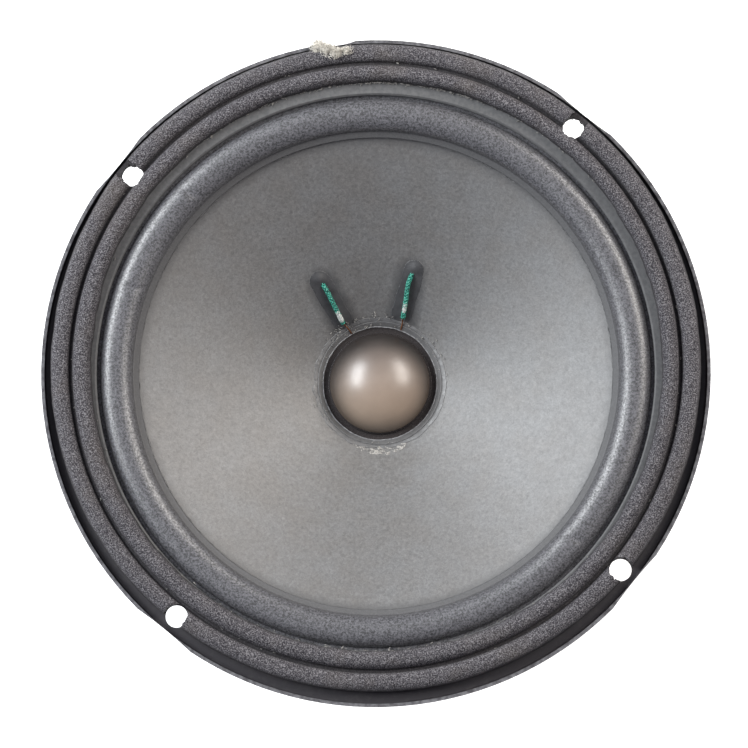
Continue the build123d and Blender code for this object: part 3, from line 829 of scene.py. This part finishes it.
def fluff_fibre():
    """Cream fibres."""
    stops, relief = [(0.3, (0.3, 0.27, 0.22)), (0.6, (0.8, 0.77, 0.7))], ((0.1,), 0.02, 0.5)
    return grained("fluff_fibre", (0.66, 0.62, 0.54), 0.85, (0.9, 4.0), stops, None, relief, Sheen_Weight=0.4)


def dress(node, material):
    """Gives a CAD node its material."""
    mesh = nodes[node].data
    mesh.materials.clear()
    mesh.materials.append(material)


zinc = zinc_steel()
rivet_metal = bright_steel()
tin = tinned_brass()
braid_green = green_braid()
cement = glossy_black()
film = grey_film()
crust = pale_crust()
solder = dull_solder()

for node, material in (
    ("basket", black_steel()),
    ("clamp_ring", pressboard()),
    ("cone", cone_paper()),
    ("coil_former", foil()),
    ("coil_collar", kraft()),
    ("coil_winding", wound_copper()),
    ("neck_glue", amber_glue()),
    ("top_plate", zinc),
    ("magnet", ferrite()),
    ("yoke", zinc),
    ("plate_rivets", rivet_metal),
    ("terminal_board", laminate()),
    ("board_rivets", rivet_metal),
    ("terminal_positive", tin),
    ("terminal_negative", tin),
    ("terminal_eyelets", tin),
):
    dress(node, material)

# ---- Gasket: a foam ring with two beads, cut away at the bolt holes ----
GASKET_SHIFT = (0.14, 1.29)
GASKET_INNER = 70.3
LOPSIDED, LOPSIDED_AT = 0.35, 35  # how far its inner edge is off a circle, and the azimuth of the most
GROOVE = 75.1
GASKET_OUTER = 80.1
GASKET_STEP = CLAMP_OUTER + 1.5  # where its back steps over the clamp ring
LIP_WALL = 1.25
SLOT_END = 82.6
SLOT_FLOOR = 3.6
CUT_TOP = 9  # above all of the foam
GROOVE_FLOOR = 4.1
GROOVE_HALF = 0.4
INNER_CREST = 6.5
OUTER_CREST = 6.0
SLOTS = {45: 5.2, 135: 5.3, 225: 5.9, 315: 5.7}  # width of the slot at each bolt hole, by azimuth


def bead(inner, outer, foot_in, crest, foot_out, count):
    """Points over one rounded bead, closer together at its steep sides."""
    t = np.cos(np.linspace(pi, 0, count))
    foot = np.where(t < 0, foot_in, foot_out)
    height = foot + (crest - foot) * np.sqrt(np.maximum(0, 1 - np.abs(t) ** 2.3))
    return np.column_stack([(inner + outer) / 2 + t * (outer - inner) / 2, height])


def gasket_form(points, radius, height, angle):
    """Uneven cutting and coarse cells."""
    inner = np.clip((GROOVE - radius) / (GROOVE - GASKET_INNER), 0, 1)
    outer = np.clip((radius - GROOVE) / (GASKET_OUTER - GROOVE), 0, 1)
    lift = np.clip((height - CLAMP_TOP) / 1.0, 0, 1)
    lopsided = LOPSIDED * np.cos(angle - radians(LOPSIDED_AT))
    radius = radius + inner * (lopsided + 0.22 * noise(points, 4.0, 1) + 0.12 * noise(points, 1.2, 2))
    radius = radius + outer * 0.15 * noise(points, 6.0, 3)
    cells = 0.13 * noise(points, 0.5, 4) + 0.09 * noise(points, 0.3, 5)
    swell = 0.18 * noise(points, 9.0, 6)
    crown = np.maximum(inner * (1 - inner), outer * (1 - outer)) * 4
    height = height + lift * (cells * (0.35 + 0.65 * np.clip(crown, 0, 1)) + swell * crown)
    radius = radius + (outer > 0.97) * cells * 0.5
    return radius, height


def cut_through(ring, corners, floor):
    """Cuts the foam away inside a ragged outline, down to a height."""
    out = Vector((corners[0].x, corners[0].y, 0)).normalized()
    side = Vector((-out.y, out.x, 0))
    ragged = [c + out * 0.15 * rng.normal() + side * 0.15 * rng.normal() for c in corners]
    shape = bmesh.new()
    low = [shape.verts.new((c + Vector((0, 0, floor))) * MM) for c in ragged]
    high = [shape.verts.new((c + Vector((0, 0, CUT_TOP))) * MM) for c in ragged]
    shape.faces.new(low[::-1])
    shape.faces.new(high)
    for k in range(len(low)):
        n = (k + 1) % len(low)
        shape.faces.new((low[k], low[n], high[n], high[k]))
    bmesh.ops.recalc_face_normals(shape, faces=shape.faces)
    mesh = bpy.data.meshes.new("cutter")
    shape.to_mesh(mesh)
    shape.free()
    cutter = bpy.data.objects.new("cutter", mesh)
    bpy.context.scene.collection.objects.link(cutter)
    cut = ring.modifiers.new("cut", "BOOLEAN")
    cut.operation = "DIFFERENCE"
    cut.object = cutter
    cut.solver = "EXACT"
    apply_modifiers(ring)
    bpy.data.objects.remove(cutter)


def make_gasket():
    outline = np.vstack([
        bead(GASKET_INNER, GROOVE - GROOVE_HALF, CLAMP_TOP + 0.02, INNER_CREST, GROOVE_FLOOR, 20),
        bead(GROOVE + GROOVE_HALF, GASKET_OUTER, GROOVE_FLOOR, OUTER_CREST, 3.3, 20),
        [(GASKET_OUTER, 2.6), (GASKET_OUTER, 1.7), (GASKET_OUTER - 0.2, FLANGE_FRONT)],
        [(77.8, FLANGE_FRONT), (GASKET_STEP, FLANGE_FRONT), (GASKET_STEP, CLAMP_TOP + 0.02)],
        [(73.0, CLAMP_TOP + 0.02)],
    ])
    ring = turned("gasket_foam", outline, 1500, rim_foam(), gasket_form)
    ring.data.transform(Matrix.Translation((GASKET_SHIFT[0] * MM, GASKET_SHIFT[1] * MM, 0)))
    # it stays inside the lip where it is pushed against it
    limit = (RIM_RADIUS - LIP_WALL) * MM
    for vertex in ring.data.vertices:
        reach = sqrt(vertex.co.x**2 + vertex.co.y**2)
        if reach > limit:
            vertex.co.x *= limit / reach
            vertex.co.y *= limit / reach
    for azimuth, width in SLOTS.items():
        out = Vector((cos(radians(azimuth)), sin(radians(azimuth)), 0))
        side = Vector((-out.y, out.x, 0))
        hole = [
            out * (HOLE_CIRCLE + width / 2 * cos(turn)) + side * (width / 2 * sin(turn))
            for turn in np.radians(np.arange(0, 360, 12))
        ]
        slot = []
        for hand in (-1, 1):
            for reach in np.arange(HOLE_CIRCLE, SLOT_END, 0.5)[::-hand]:
                slot.append(out * reach + side * hand * (width / 2 - 0.3))
        cut_through(ring, hole, -1.0)
        cut_through(ring, slot, SLOT_FLOOR)
    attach(ring, FRAME)
    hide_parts("gasket")


def apply_modifiers(piece):
    """Turns a piece's modifiers into its mesh."""
    graph = bpy.context.evaluated_depsgraph_get()
    final = bpy.data.meshes.new_from_object(piece.evaluated_get(graph))
    piece.modifiers.clear()
    piece.data = final


# ---- Surround and spider: they span the gap between the frame and the cone ----
SURROUND_SKIN = 0.5
FOOT_INNER = 58.6
FOOT_TILT = radians(28)
EDGE_LINE = 58.42
ROLL_INNER = 60.2
ROLL_OUTER = 67.7
ROLL_CREST = 64.2
CREASES = (130.0, 155.0, 314.0)


def surround_form(points, radius, height, angle):
    """Slight unevenness and three faint creases across the roll."""
    over = np.clip((radius - ROLL_INNER) / (ROLL_OUTER - ROLL_INNER), 0, 1)
    crown = np.sin(pi * over) ** 2
    height = height + crown * 0.14 * noise(points, 16.0, 7)
    for crease in CREASES:
        skew = radians(1.4) * (over - 0.5)
        away = np.angle(np.exp(1j * (angle - radians(crease) - skew))) * radius
        height = height - crown * 0.28 * np.exp(-((away / 1.1) ** 2))
    return radius, height + crown * 0.02 * noise(points, 0.5, 8)


def rounded_quarter(foot, crest, power, count=24):
    """Points from a foot (radius, height) up to the crest; a higher power squares the shoulder."""
    t = np.linspace(0, pi / 2, count)
    run, rise = np.cos(t) ** (2 / power), np.sin(t) ** (2 / power)
    return np.column_stack([crest[0] + (foot[0] - crest[0]) * run, foot[1] + (crest[1] - foot[1]) * rise])


def make_surround():
    foot_z = FLANGE_FRONT + SURROUND_SKIN / 2
    lift = SURROUND_SKIN / 2 / cos(FOOT_TILT) + 0.02
    inner_z = float(cone_height(ROLL_INNER)) + lift
    crest = (ROLL_CREST, SURROUND_TOP - SURROUND_SKIN / 2)
    line = np.vstack([
        [(FOOT_INNER, cone_height(FOOT_INNER) + lift)],
        rounded_quarter((ROLL_INNER, inner_z), crest, 2.0),
        rounded_quarter((ROLL_OUTER, foot_z), crest, 2.2)[-2::-1],
        [(SURROUND_OUTER, foot_z)],
    ])
    line = softened(line, 0.2, 0.35)
    ring = turned("surround_roll", thickened(line, SURROUND_SKIN), 1080, surround_foam(), surround_form)
    blend_radially(ring)
    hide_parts("surround")


def edge_form(points, radius, height, angle):
    """A broken line: thick in places, nearly gone in others."""
    amount = np.clip(0.55 + 0.5 * noise(points, 3.0, 9) + 0.5 * noise(points, 0.7, 10), 0.12, 1.2)
    radius = EDGE_LINE + (radius - EDGE_LINE) * amount + 0.08 * noise(points, 1.5, 12)
    ground = cone_height(radius) + 0.01
    return radius, ground + np.maximum(height, 0) * amount


def make_edge_line():
    """The cut edge of the surround's foot, where cement has squeezed out onto the cone."""
    top = [(EDGE_LINE + 0.16 * cos(t), 0.18 * sin(t)) for t in np.linspace(pi, 0, 7)]
    ring = turned("surround_edge", top, 1800, film, edge_form)
    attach(ring, MOVING)


SPIDER_INNER = 13.25
SPIDER_SKIN = 0.4
WAVE_START, WAVE_PITCH, WAVES = 16.0, 3.9, 5


def make_spider():
    top = box_mm("spider")[1][2]
    level = box_mm("spider")[0][2] + 1.0 + SPIDER_SKIN / 2
    line = [(SPIDER_INNER, top - 0.1), (SPIDER_INNER, level)]
    for radius in np.linspace(WAVE_START, WAVE_START + WAVE_PITCH * WAVES, 120):
        line.append((radius, level + np.sin((radius - WAVE_START) / WAVE_PITCH * 2 * pi)))
    line.append((SPIDER_OUTER - 0.1, level))
    line = softened(np.array(line), 0.2, 0.3)
    ring = turned("spider_cloth", thickened(line, SPIDER_SKIN), 420, spider_cloth())
    blend_radially(ring)
    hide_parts("spider")


# ---- Dust cap with its cement ----
DOME_RADIUS = 12.9
DOME_SKIN = 0.3
BLACK_FOOT = 12.5  # the skin is black beyond this radius
CAP_FLANGE = 15.6
LINE_RADIUS = 14.35


def cap_flange_height(radius):
    """Middle of the cap's flange, which rests on the cone."""
    inner, outer = DOME_RADIUS + 0.9, CAP_FLANGE
    heights = [cone_height(inner + 0.7) - 0.35, cone_height(outer) + 0.25]
    return np.interp(radius, [inner, outer], heights)


def make_dome():
    """The bronze dome, its black foot and its flange, which is cemented to the cone."""
    inner = DOME_RADIUS + 0.9
    base = float(cap_flange_height(inner)) - 0.35
    line = np.vstack([
        arc((-DOME_RADIUS, base), (0, DOME_TOP - DOME_SKIN / 2), (DOME_RADIUS, base), 161)[80:],
        [(inner, cap_flange_height(inner))],
        [(CAP_FLANGE, cap_flange_height(CAP_FLANGE))],
    ])
    line = softened(line, 0.15, 0.25)
    line[0, 0] = 0.0
    outline = thickened(line, DOME_SKIN)
    outline[0, 0] = 0.0
    outline[-1, 0] = 0.0
    cap = turned("dome", outline, 192, dome_skin())
    cap.data.materials.append(cement)
    cap.data.materials.append(film)
    for face in cap.data.polygons:
        radius = sqrt(face.center.x**2 + face.center.y**2) / MM
        face.material_index = int(radius > BLACK_FOOT) + int(radius > LINE_RADIUS)
    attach(cap, MOVING)
    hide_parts("dust_cap")


def cement_form(points, radius, height, angle):
    """A lumpy film with a ragged edge."""
    lumps = 0.3 * noise(points, 2.4, 13) + 0.12 * noise(points, 0.7, 14)
    spread = np.clip((radius - CAP_FLANGE) / 1.0, -1, 1)
    radius = radius + lumps * (0.4 + 0.6 * np.abs(spread))
    ground = cone_height(radius) + 0.02
    return radius, ground + np.maximum(height, 0) * (1 + 1.4 * lumps)


def cap_line_form(points, radius, height, angle):
    """The flange's raised line, with dips in it."""
    dips = 0.06 * noise(points, 2.4, 17) + 0.04 * noise(points, 0.6, 18)
    return radius + dips, height + cap_flange_height(LINE_RADIUS) + DOME_SKIN / 2 + dips


def make_cap_cement():
    """An uneven film of cement around the cap's flange, and the line left where the flange was pressed."""
    top = [(CAP_FLANGE + 0.2 + 0.9 * x, 0.2 * (1 - x**2) ** 2) for x in np.linspace(-1, 1, 13)]
    spread = turned("cap_cement", top, 420, film, cement_form)
    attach(spread, MOVING)
    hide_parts("dust_cap_glue")
    turns = np.linspace(2 * pi, 0, 10, endpoint=False)
    outline = [(LINE_RADIUS + 0.15 * cos(t), 0.14 * sin(t)) for t in turns]
    line = turned("cap_line", outline, 360, pale_line(), cap_line_form)
    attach(line, MOVING)


def crumb(place, heading, longest, wobble, thickness, profile):
    """One crumb: a short crooked thread with a thickness between two limits."""
    along = heading / np.linalg.norm(heading)
    path = place + np.outer(np.linspace(0, rng.uniform(0.25, longest), len(profile)), along)
    path = path + rng.normal(0, wobble, path.shape)
    return tube(path, rng.uniform(*thickness) * np.array(profile), 5)


def make_crumbs():
    """Crumbs of dried glue and dust on and around the cap's flange."""
    shapes = []
    for _ in range(110):
        azimuth = float(rng.choice([116.0, 118.0, 64.0, 90.0, 190.0, 265.0, 20.0])) + rng.normal(0, 13.0)
        radius = rng.uniform(14.6, 17.8)
        place = on_cone(max(radius, 14.5), azimuth, 0.35)
        heading = rng.normal(0, 1, 3) * np.array([1, 1, 0.4])
        shapes.append(crumb(place, heading, 0.75, 0.05, (0.05, 0.12), (0.5, 1, 0.8, 1, 0.4)))
    crumbs = add_mesh("cap_crumbs", *joined(shapes), crust)
    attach(crumbs, MOVING)


def make_crust():
    """Pale flaky glue that ran below the cap, in streaks around it."""

    def thickness(u, v, xy):
        streaks = in_plan(np.stack([u * 2.4, v * 0.8], axis=-1))
        from_axis = np.linalg.norm(xy, axis=-1)
        falloff = 1 - ((from_axis - 16.7 - 0.03 * v) / 1.7) ** 2 - (v / 6.6) ** 2
        clumps = noise(in_plan(xy), 1.9, 19)
        flakes = 0.8 * noise(streaks, 0.8, 15) + 0.6 * noise(streaks, 0.4, 16) + 0.5 * clumps
        return 0.22 * np.clip(flakes - 0.42 + 0.6 * np.minimum(falloff, 0.7) - 0.9 * (falloff < 0), 0, 0.6)

    patch = patch_on_cone("glue_crust", (17.3, 264.0), (5.4, 14.0), 0.12, thickness, crust)
    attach(patch, MOVING)


# ---- Leads: dope, braid, solder and coil wires on the cone, flexible braids behind it ----
BRAID_RADIUS = 0.58
BRAID_LIFT = 0.95
DOPE_FROM = 15.9
DOPE_TO = 31.2
DOPE_WIDTH = 5.0


def make_dope(side):
    """A dark patch under a lead, thin at its edges, with a blob that closes the hole in the cone."""
    seed = 20 if side == "left" else 30
    middle = (DOPE_FROM + DOPE_TO) / 2
    azimuth = float(lead_azimuth(side, middle))
    ends = (DOPE_TO - DOPE_FROM - DOPE_WIDTH) / 2

    def thickness(u, v, xy):
        points = in_plan(xy)
        beyond = np.maximum(np.abs(u) - ends, 0)
        edge = np.sqrt(beyond**2 + v**2) / (DOPE_WIDTH / 2) + 0.1 * noise(points, 2.5, seed)
        body = np.clip(1 - edge**2, 0, 1)
        from_hole = np.linalg.norm(xy - lead_hole(side)[:2], axis=-1)
        blob = 0.42 * np.exp(-((from_hole / 1.9) ** 2))
        film_height = 0.2 * body**1.3 + 0.04 * body * noise(points, 1.2, seed + 1) + blob * body
        return np.where(body > 0, film_height, 0)

    size = (DOPE_TO - DOPE_FROM + 2, DOPE_WIDTH + 2)
    patch = patch_on_cone(f"dope_{side}", (middle, azimuth), size, 0.14, thickness, dope_paint)
    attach(patch, MOVING)
    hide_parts(f"lead_dope_{side}")


def lead_point(side, radius, above):
    """Point above the cone on a lead's line."""
    return on_cone(radius, float(lead_azimuth(side, radius)), above)


def make_lead_end(side):
    """Green braid on the cone's front, going down through its hole."""
    exit_z = box_mm(f"tinsel_end_{side}")[0][2]
    (low, _), (high, _), _ = LEADS[side]
    top = lead_point(side, high - 0.8, BRAID_LIFT + 0.1)
    route = [
        lead_hole(side) + np.array([0, 0, exit_z]),
        lead_hole(side) + np.array([0, 0, exit_z + 1.9]),
        lead_point(side, high + 1.6, 0.1),
        top,
        lead_point(side, (low + high) / 2, BRAID_LIFT + 0.08),
        lead_point(side, low + 2.0, BRAID_LIFT),
        lead_point(side, low, BRAID_LIFT - 0.2),
    ]
    strands = braid(spline(route), BRAID_RADIUS, fray=0.25)
    piece = add_mesh(f"braid_end_{side}", *strands, braid_green)
    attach(piece, MOVING)
    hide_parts(f"tinsel_end_{side}")


def make_solder(side):
    """Solder soaked into the braid where the coil's wire meets it."""
    seed = 40 if side == "left" else 50
    start, end = LEADS[side][2]
    route = np.array([lead_point(side, r, BRAID_LIFT + 0.06) for r in np.linspace(start, end, 30)])
    t = np.linspace(0, 1, len(route))
    radius = (0.56 + 0.1 * noise(route, 0.8, seed)) * np.sqrt(np.clip(1 - (2 * t - 1) ** 8, 0.02, 1))
    points, faces = tube(route, radius, 16)
    points = points + 0.07 * noise(points, 0.35, seed + 1)[:, None]
    piece = add_mesh(f"solder_{side}", points, faces, solder)
    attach(piece, MOVING)
    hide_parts(f"solder_joint_{side}")


def make_coil_wire(side):
    """Thin wire from the joint to the edge of the cap, with a little slack."""
    low = LEADS[side][0][0]
    azimuth = float(lead_azimuth(side, low))
    bow = -1.5 if side == "left" else -1.0
    route = [
        lead_point(side, low + 2.5, BRAID_LIFT),
        lead_point(side, low, 0.85),
        on_cone(low - 1.0, azimuth + bow * 0.5, 0.6),
        on_cone(16.2, azimuth + bow, 0.5),
        on_cone(15.2, azimuth + bow * 1.3, 0.5),
        on_cone(14.6, azimuth + bow * 1.3, 0.3),
    ]
    piece = add_mesh(f"coil_wire_{side}_run", *tube(spline(route, 0.15), 0.17, 8), wire_paint)
    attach(piece, MOVING)
    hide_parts(f"coil_wire_{side}")


def make_flexible_lead(side):
    """Slack braid from the terminal eyelet to the cone."""
    hand = -1 if side == "left" else 1
    start = lead_hole(side)
    start[2] = box_mm(f"tinsel_end_{side}")[0][2]
    eyelet = np.array([hand * 14.0, 0, 0])
    eye_low, eye_high = box_mm("terminal_eyelets")
    eyelet[1], eyelet[2] = eye_low[1] + 1.25, eye_high[2] - 1.55
    inwards = np.array([0, -0.7832, 0.6218])  # along the eyelet, towards the cone
    route = [
        start,
        start + np.array([0, 0, -4.2]),
        np.array([hand * 12.9, 35.6, -26.3]),
        np.array([hand * 13.6, 43.2, -24.4]),
        eyelet + inwards * 5.0,
        eyelet,
    ]
    piece = add_mesh(f"flexible_lead_{side}", *braid(spline(route), BRAID_RADIUS), braid_green)
    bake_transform(piece)
    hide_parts(f"tinsel_lead_{side}")


# ---- Small things: torn fluff at the lip's key, and the vent's screen ----


def make_foam_crumbs():
    """Pale crumbs of torn foam along the gasket's inner edge, and a few caught in its groove."""
    low, deep = CLAMP_TOP + 0.25, GROOVE_FLOOR + 0.3
    places = [(rng.normal(80, 20), GASKET_INNER + rng.normal(-0.1, 0.14), low) for _ in range(190)]
    places += [(rng.normal(255, 35), GASKET_INNER + rng.normal(-0.1, 0.14), low) for _ in range(50)]
    places += [(rng.uniform(0, 360), GROOVE + rng.normal(0, 0.3), deep) for _ in range(26)]
    shapes = []
    for azimuth, radius, height in places:
        turn = radians(azimuth)
        radius = radius + LOPSIDED * cos(radians(azimuth - LOPSIDED_AT))
        place = np.array([radius * cos(turn) + GASKET_SHIFT[0], radius * sin(turn) + GASKET_SHIFT[1], height])
        heading = np.array([-sin(turn), cos(turn), 0]) + rng.normal(0, 0.5, 3) * np.array([1, 1, 0.4])
        shapes.append(crumb(place, heading, 0.9, 0.06, (0.07, 0.17), (0.4, 1, 0.7, 1, 0.8, 0.4)))
    crumbs = add_mesh("foam_crumbs", *joined(shapes), crust)
    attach(crumbs, FRAME)


FLUFF_FIBRES = 700
FLUFF_LOBES = (  # (middle, spread, share of the fibres)
    ((-5.7, 81.7, 4.6), (1.0, 0.8, 0.8), 0.4),
    ((-3.5, 80.5, 5.4), (1.2, 0.9, 0.7), 0.36),
    ((-1.6, 79.5, 6.0), (1.0, 0.7, 0.4), 0.16),
    ((0.8, 79.7, 6.0), (1.4, 0.6, 0.4), 0.08),
)


def make_fluff():
    """A tuft of torn fibres caught in the lip's key and lying over the foam."""
    shapes = []
    for middle, spread, share in FLUFF_LOBES:
        middle, spread = np.array(middle), np.array(spread)
        for _ in range(int(FLUFF_FIBRES * share)):
            path = [middle + rng.normal(0, 0.6, 3) * spread]
            heading = rng.normal(0, 1, 3) * np.array([1.2, 0.8, 0.6])
            for _ in range(int(rng.integers(12, 24))):
                heading = heading / np.linalg.norm(heading) + rng.normal(0, 0.5, 3)
                heading = heading - 0.22 * (path[-1] - middle) / spread
                path.append(path[-1] + heading / np.linalg.norm(heading) * 0.28)
            path = np.array(path)
            path[:, 2] = np.maximum(path[:, 2], FLANGE_FRONT + 0.1)
            shapes.append(tube(softened(path, 0.22, 0.25), rng.uniform(0.03, 0.075), 4))
    piece = add_mesh("rim_fluff", *joined(shapes), fluff_fibre())
    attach(piece, FRAME)


def make_vent_screen():
    """Woven threads across the pole's vent."""
    low, high = box_mm("vent_screen")
    level = (low[2] + high[2]) / 2
    reach = high[0] - 0.12
    pitch, thread = 0.62, 0.11
    shapes = []
    lines = np.arange(-reach + pitch / 2, reach, pitch)
    for k, offset in enumerate(lines):
        half = sqrt(max(reach**2 - offset**2, 0.05))
        run = np.arange(-half, half, 0.2)
        if len(run) < 3:
            continue
        wave = 0.07 * np.cos(run / pitch * pi + k * pi)
        along_x = np.column_stack([run, np.full(len(run), offset), level + wave])
        along_y = np.column_stack([np.full(len(run), offset), run, level - wave])
        shapes.append(tube(along_x, thread, 5))
        shapes.append(tube(along_y, thread, 5))
    piece = add_mesh("vent_mesh", *joined(shapes), black_thread())
    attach(piece, FRAME)
    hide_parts("vent_screen")


dope_paint = black_dope()
wire_paint = copper("wire_copper", (0.36, 0.16, 0.08), 0.4).material

make_gasket()
make_surround()
make_edge_line()
make_spider()
make_dome()
make_cap_cement()
make_crust()
make_crumbs()
for lead_side in LEADS:
    make_dope(lead_side)
    make_lead_end(lead_side)
    make_solder(lead_side)
    make_coil_wire(lead_side)
    make_flexible_lead(lead_side)
make_foam_crumbs()
make_fluff()
make_vent_screen()

# ---- Floor, lights and camera. The picture's right and up are turned by ROLL from +X and +Y. ----
ROLL = radians(5.85)
PICTURE_RIGHT = Vector((cos(ROLL), -sin(ROLL), 0))
PICTURE_UP = Vector((sin(ROLL), cos(ROLL), 0))
OUTWARDS = Vector((0, 0, 1))
FLOOR_REACH = 3000.0
FLOOR_GAP = 0.3  # keeps the yoke's back face clear of the floor
LAMP_DISTANCE = 1000.0
LAMP_WIDTH, LAMP_HEIGHT = 400.0, 800.0
CAMERA_DISTANCE = 1300.0
PICTURE_WIDTH = 184.1  # how much of the rim's plane the picture takes in
CAMERA_SIDE = (0.040, -0.098, 0.9945)  # direction from the driver to the camera
AIM = (-0.26, -0.62)  # the picture's middle, right of and above the rim's centre


def picture_point(right, up, outwards):
    """A place or direction given in the picture's own axes."""
    return PICTURE_RIGHT * right + PICTURE_UP * up + OUTWARDS * outwards


def facing(towards):
    """A turn that points a lamp's or a camera's back along a direction, with its top to the picture's."""
    across = PICTURE_UP.cross(towards).normalized()
    return Matrix((across, towards.cross(across), towards)).transposed().to_4x4()


def make_floor():
    paint = Paint("floor", (0.9, 0.9, 0.9), 0.8, Emission_Color=(1, 1, 1, 1), Emission_Strength=0.75)
    paint.color(paint.ramp(paint.grain(60.0), [(0.3, (0.89, 0.89, 0.89)), (0.7, (0.91, 0.91, 0.91))]))
    level = REAR - FLOOR_GAP
    corners = [(x * FLOOR_REACH, y * FLOOR_REACH, level) for x, y in ((-1, -1), (1, -1), (1, 1), (-1, 1))]
    add_mesh("floor", corners, [[0, 1, 2, 3]], paint.material, smooth=False)


def make_light(name, direction, power, color):
    """A soft box that faces the driver."""
    data = bpy.data.lights.new(name, "AREA")
    data.shape = "RECTANGLE"
    data.size = LAMP_WIDTH * MM
    data.size_y = LAMP_HEIGHT * MM
    data.energy = power
    data.color = color
    light = bpy.data.objects.new(name, data)
    bpy.context.scene.collection.objects.link(light)
    towards = picture_point(*direction).normalized()
    light.matrix_world = Matrix.Translation(towards * LAMP_DISTANCE * MM) @ facing(towards)


def make_camera():
    data = bpy.data.cameras.new("camera")
    data.sensor_width = 36.0
    data.lens = data.sensor_width * CAMERA_DISTANCE / PICTURE_WIDTH
    data.clip_start = 0.01
    data.clip_end = 20.0
    camera = bpy.data.objects.new("camera", data)
    bpy.context.scene.collection.objects.link(camera)
    towards = picture_point(*CAMERA_SIDE).normalized()
    aim = picture_point(AIM[0], AIM[1], LIP_TOP)
    camera.matrix_world = Matrix.Translation((aim + towards * CAMERA_DISTANCE) * MM) @ facing(towards)
    bpy.context.scene.camera = camera


make_floor()
make_light("left_box", (-0.739, 0.305, 0.600), 15.8, (0.95, 0.98, 1.0))
make_light("right_box", (0.725, 0.402, 0.559), 10.8, (1.0, 0.95, 0.89))
make_camera()

world = bpy.data.worlds.new("studio")
world.use_nodes = True
world.node_tree.nodes["Background"].inputs["Color"].default_value = (1, 1, 1.16, 1)
world.node_tree.nodes["Background"].inputs["Strength"].default_value = 0.2
bpy.context.scene.world = world
bpy.context.scene.view_settings.view_transform = "Standard"

bpy.context.view_layer.update()
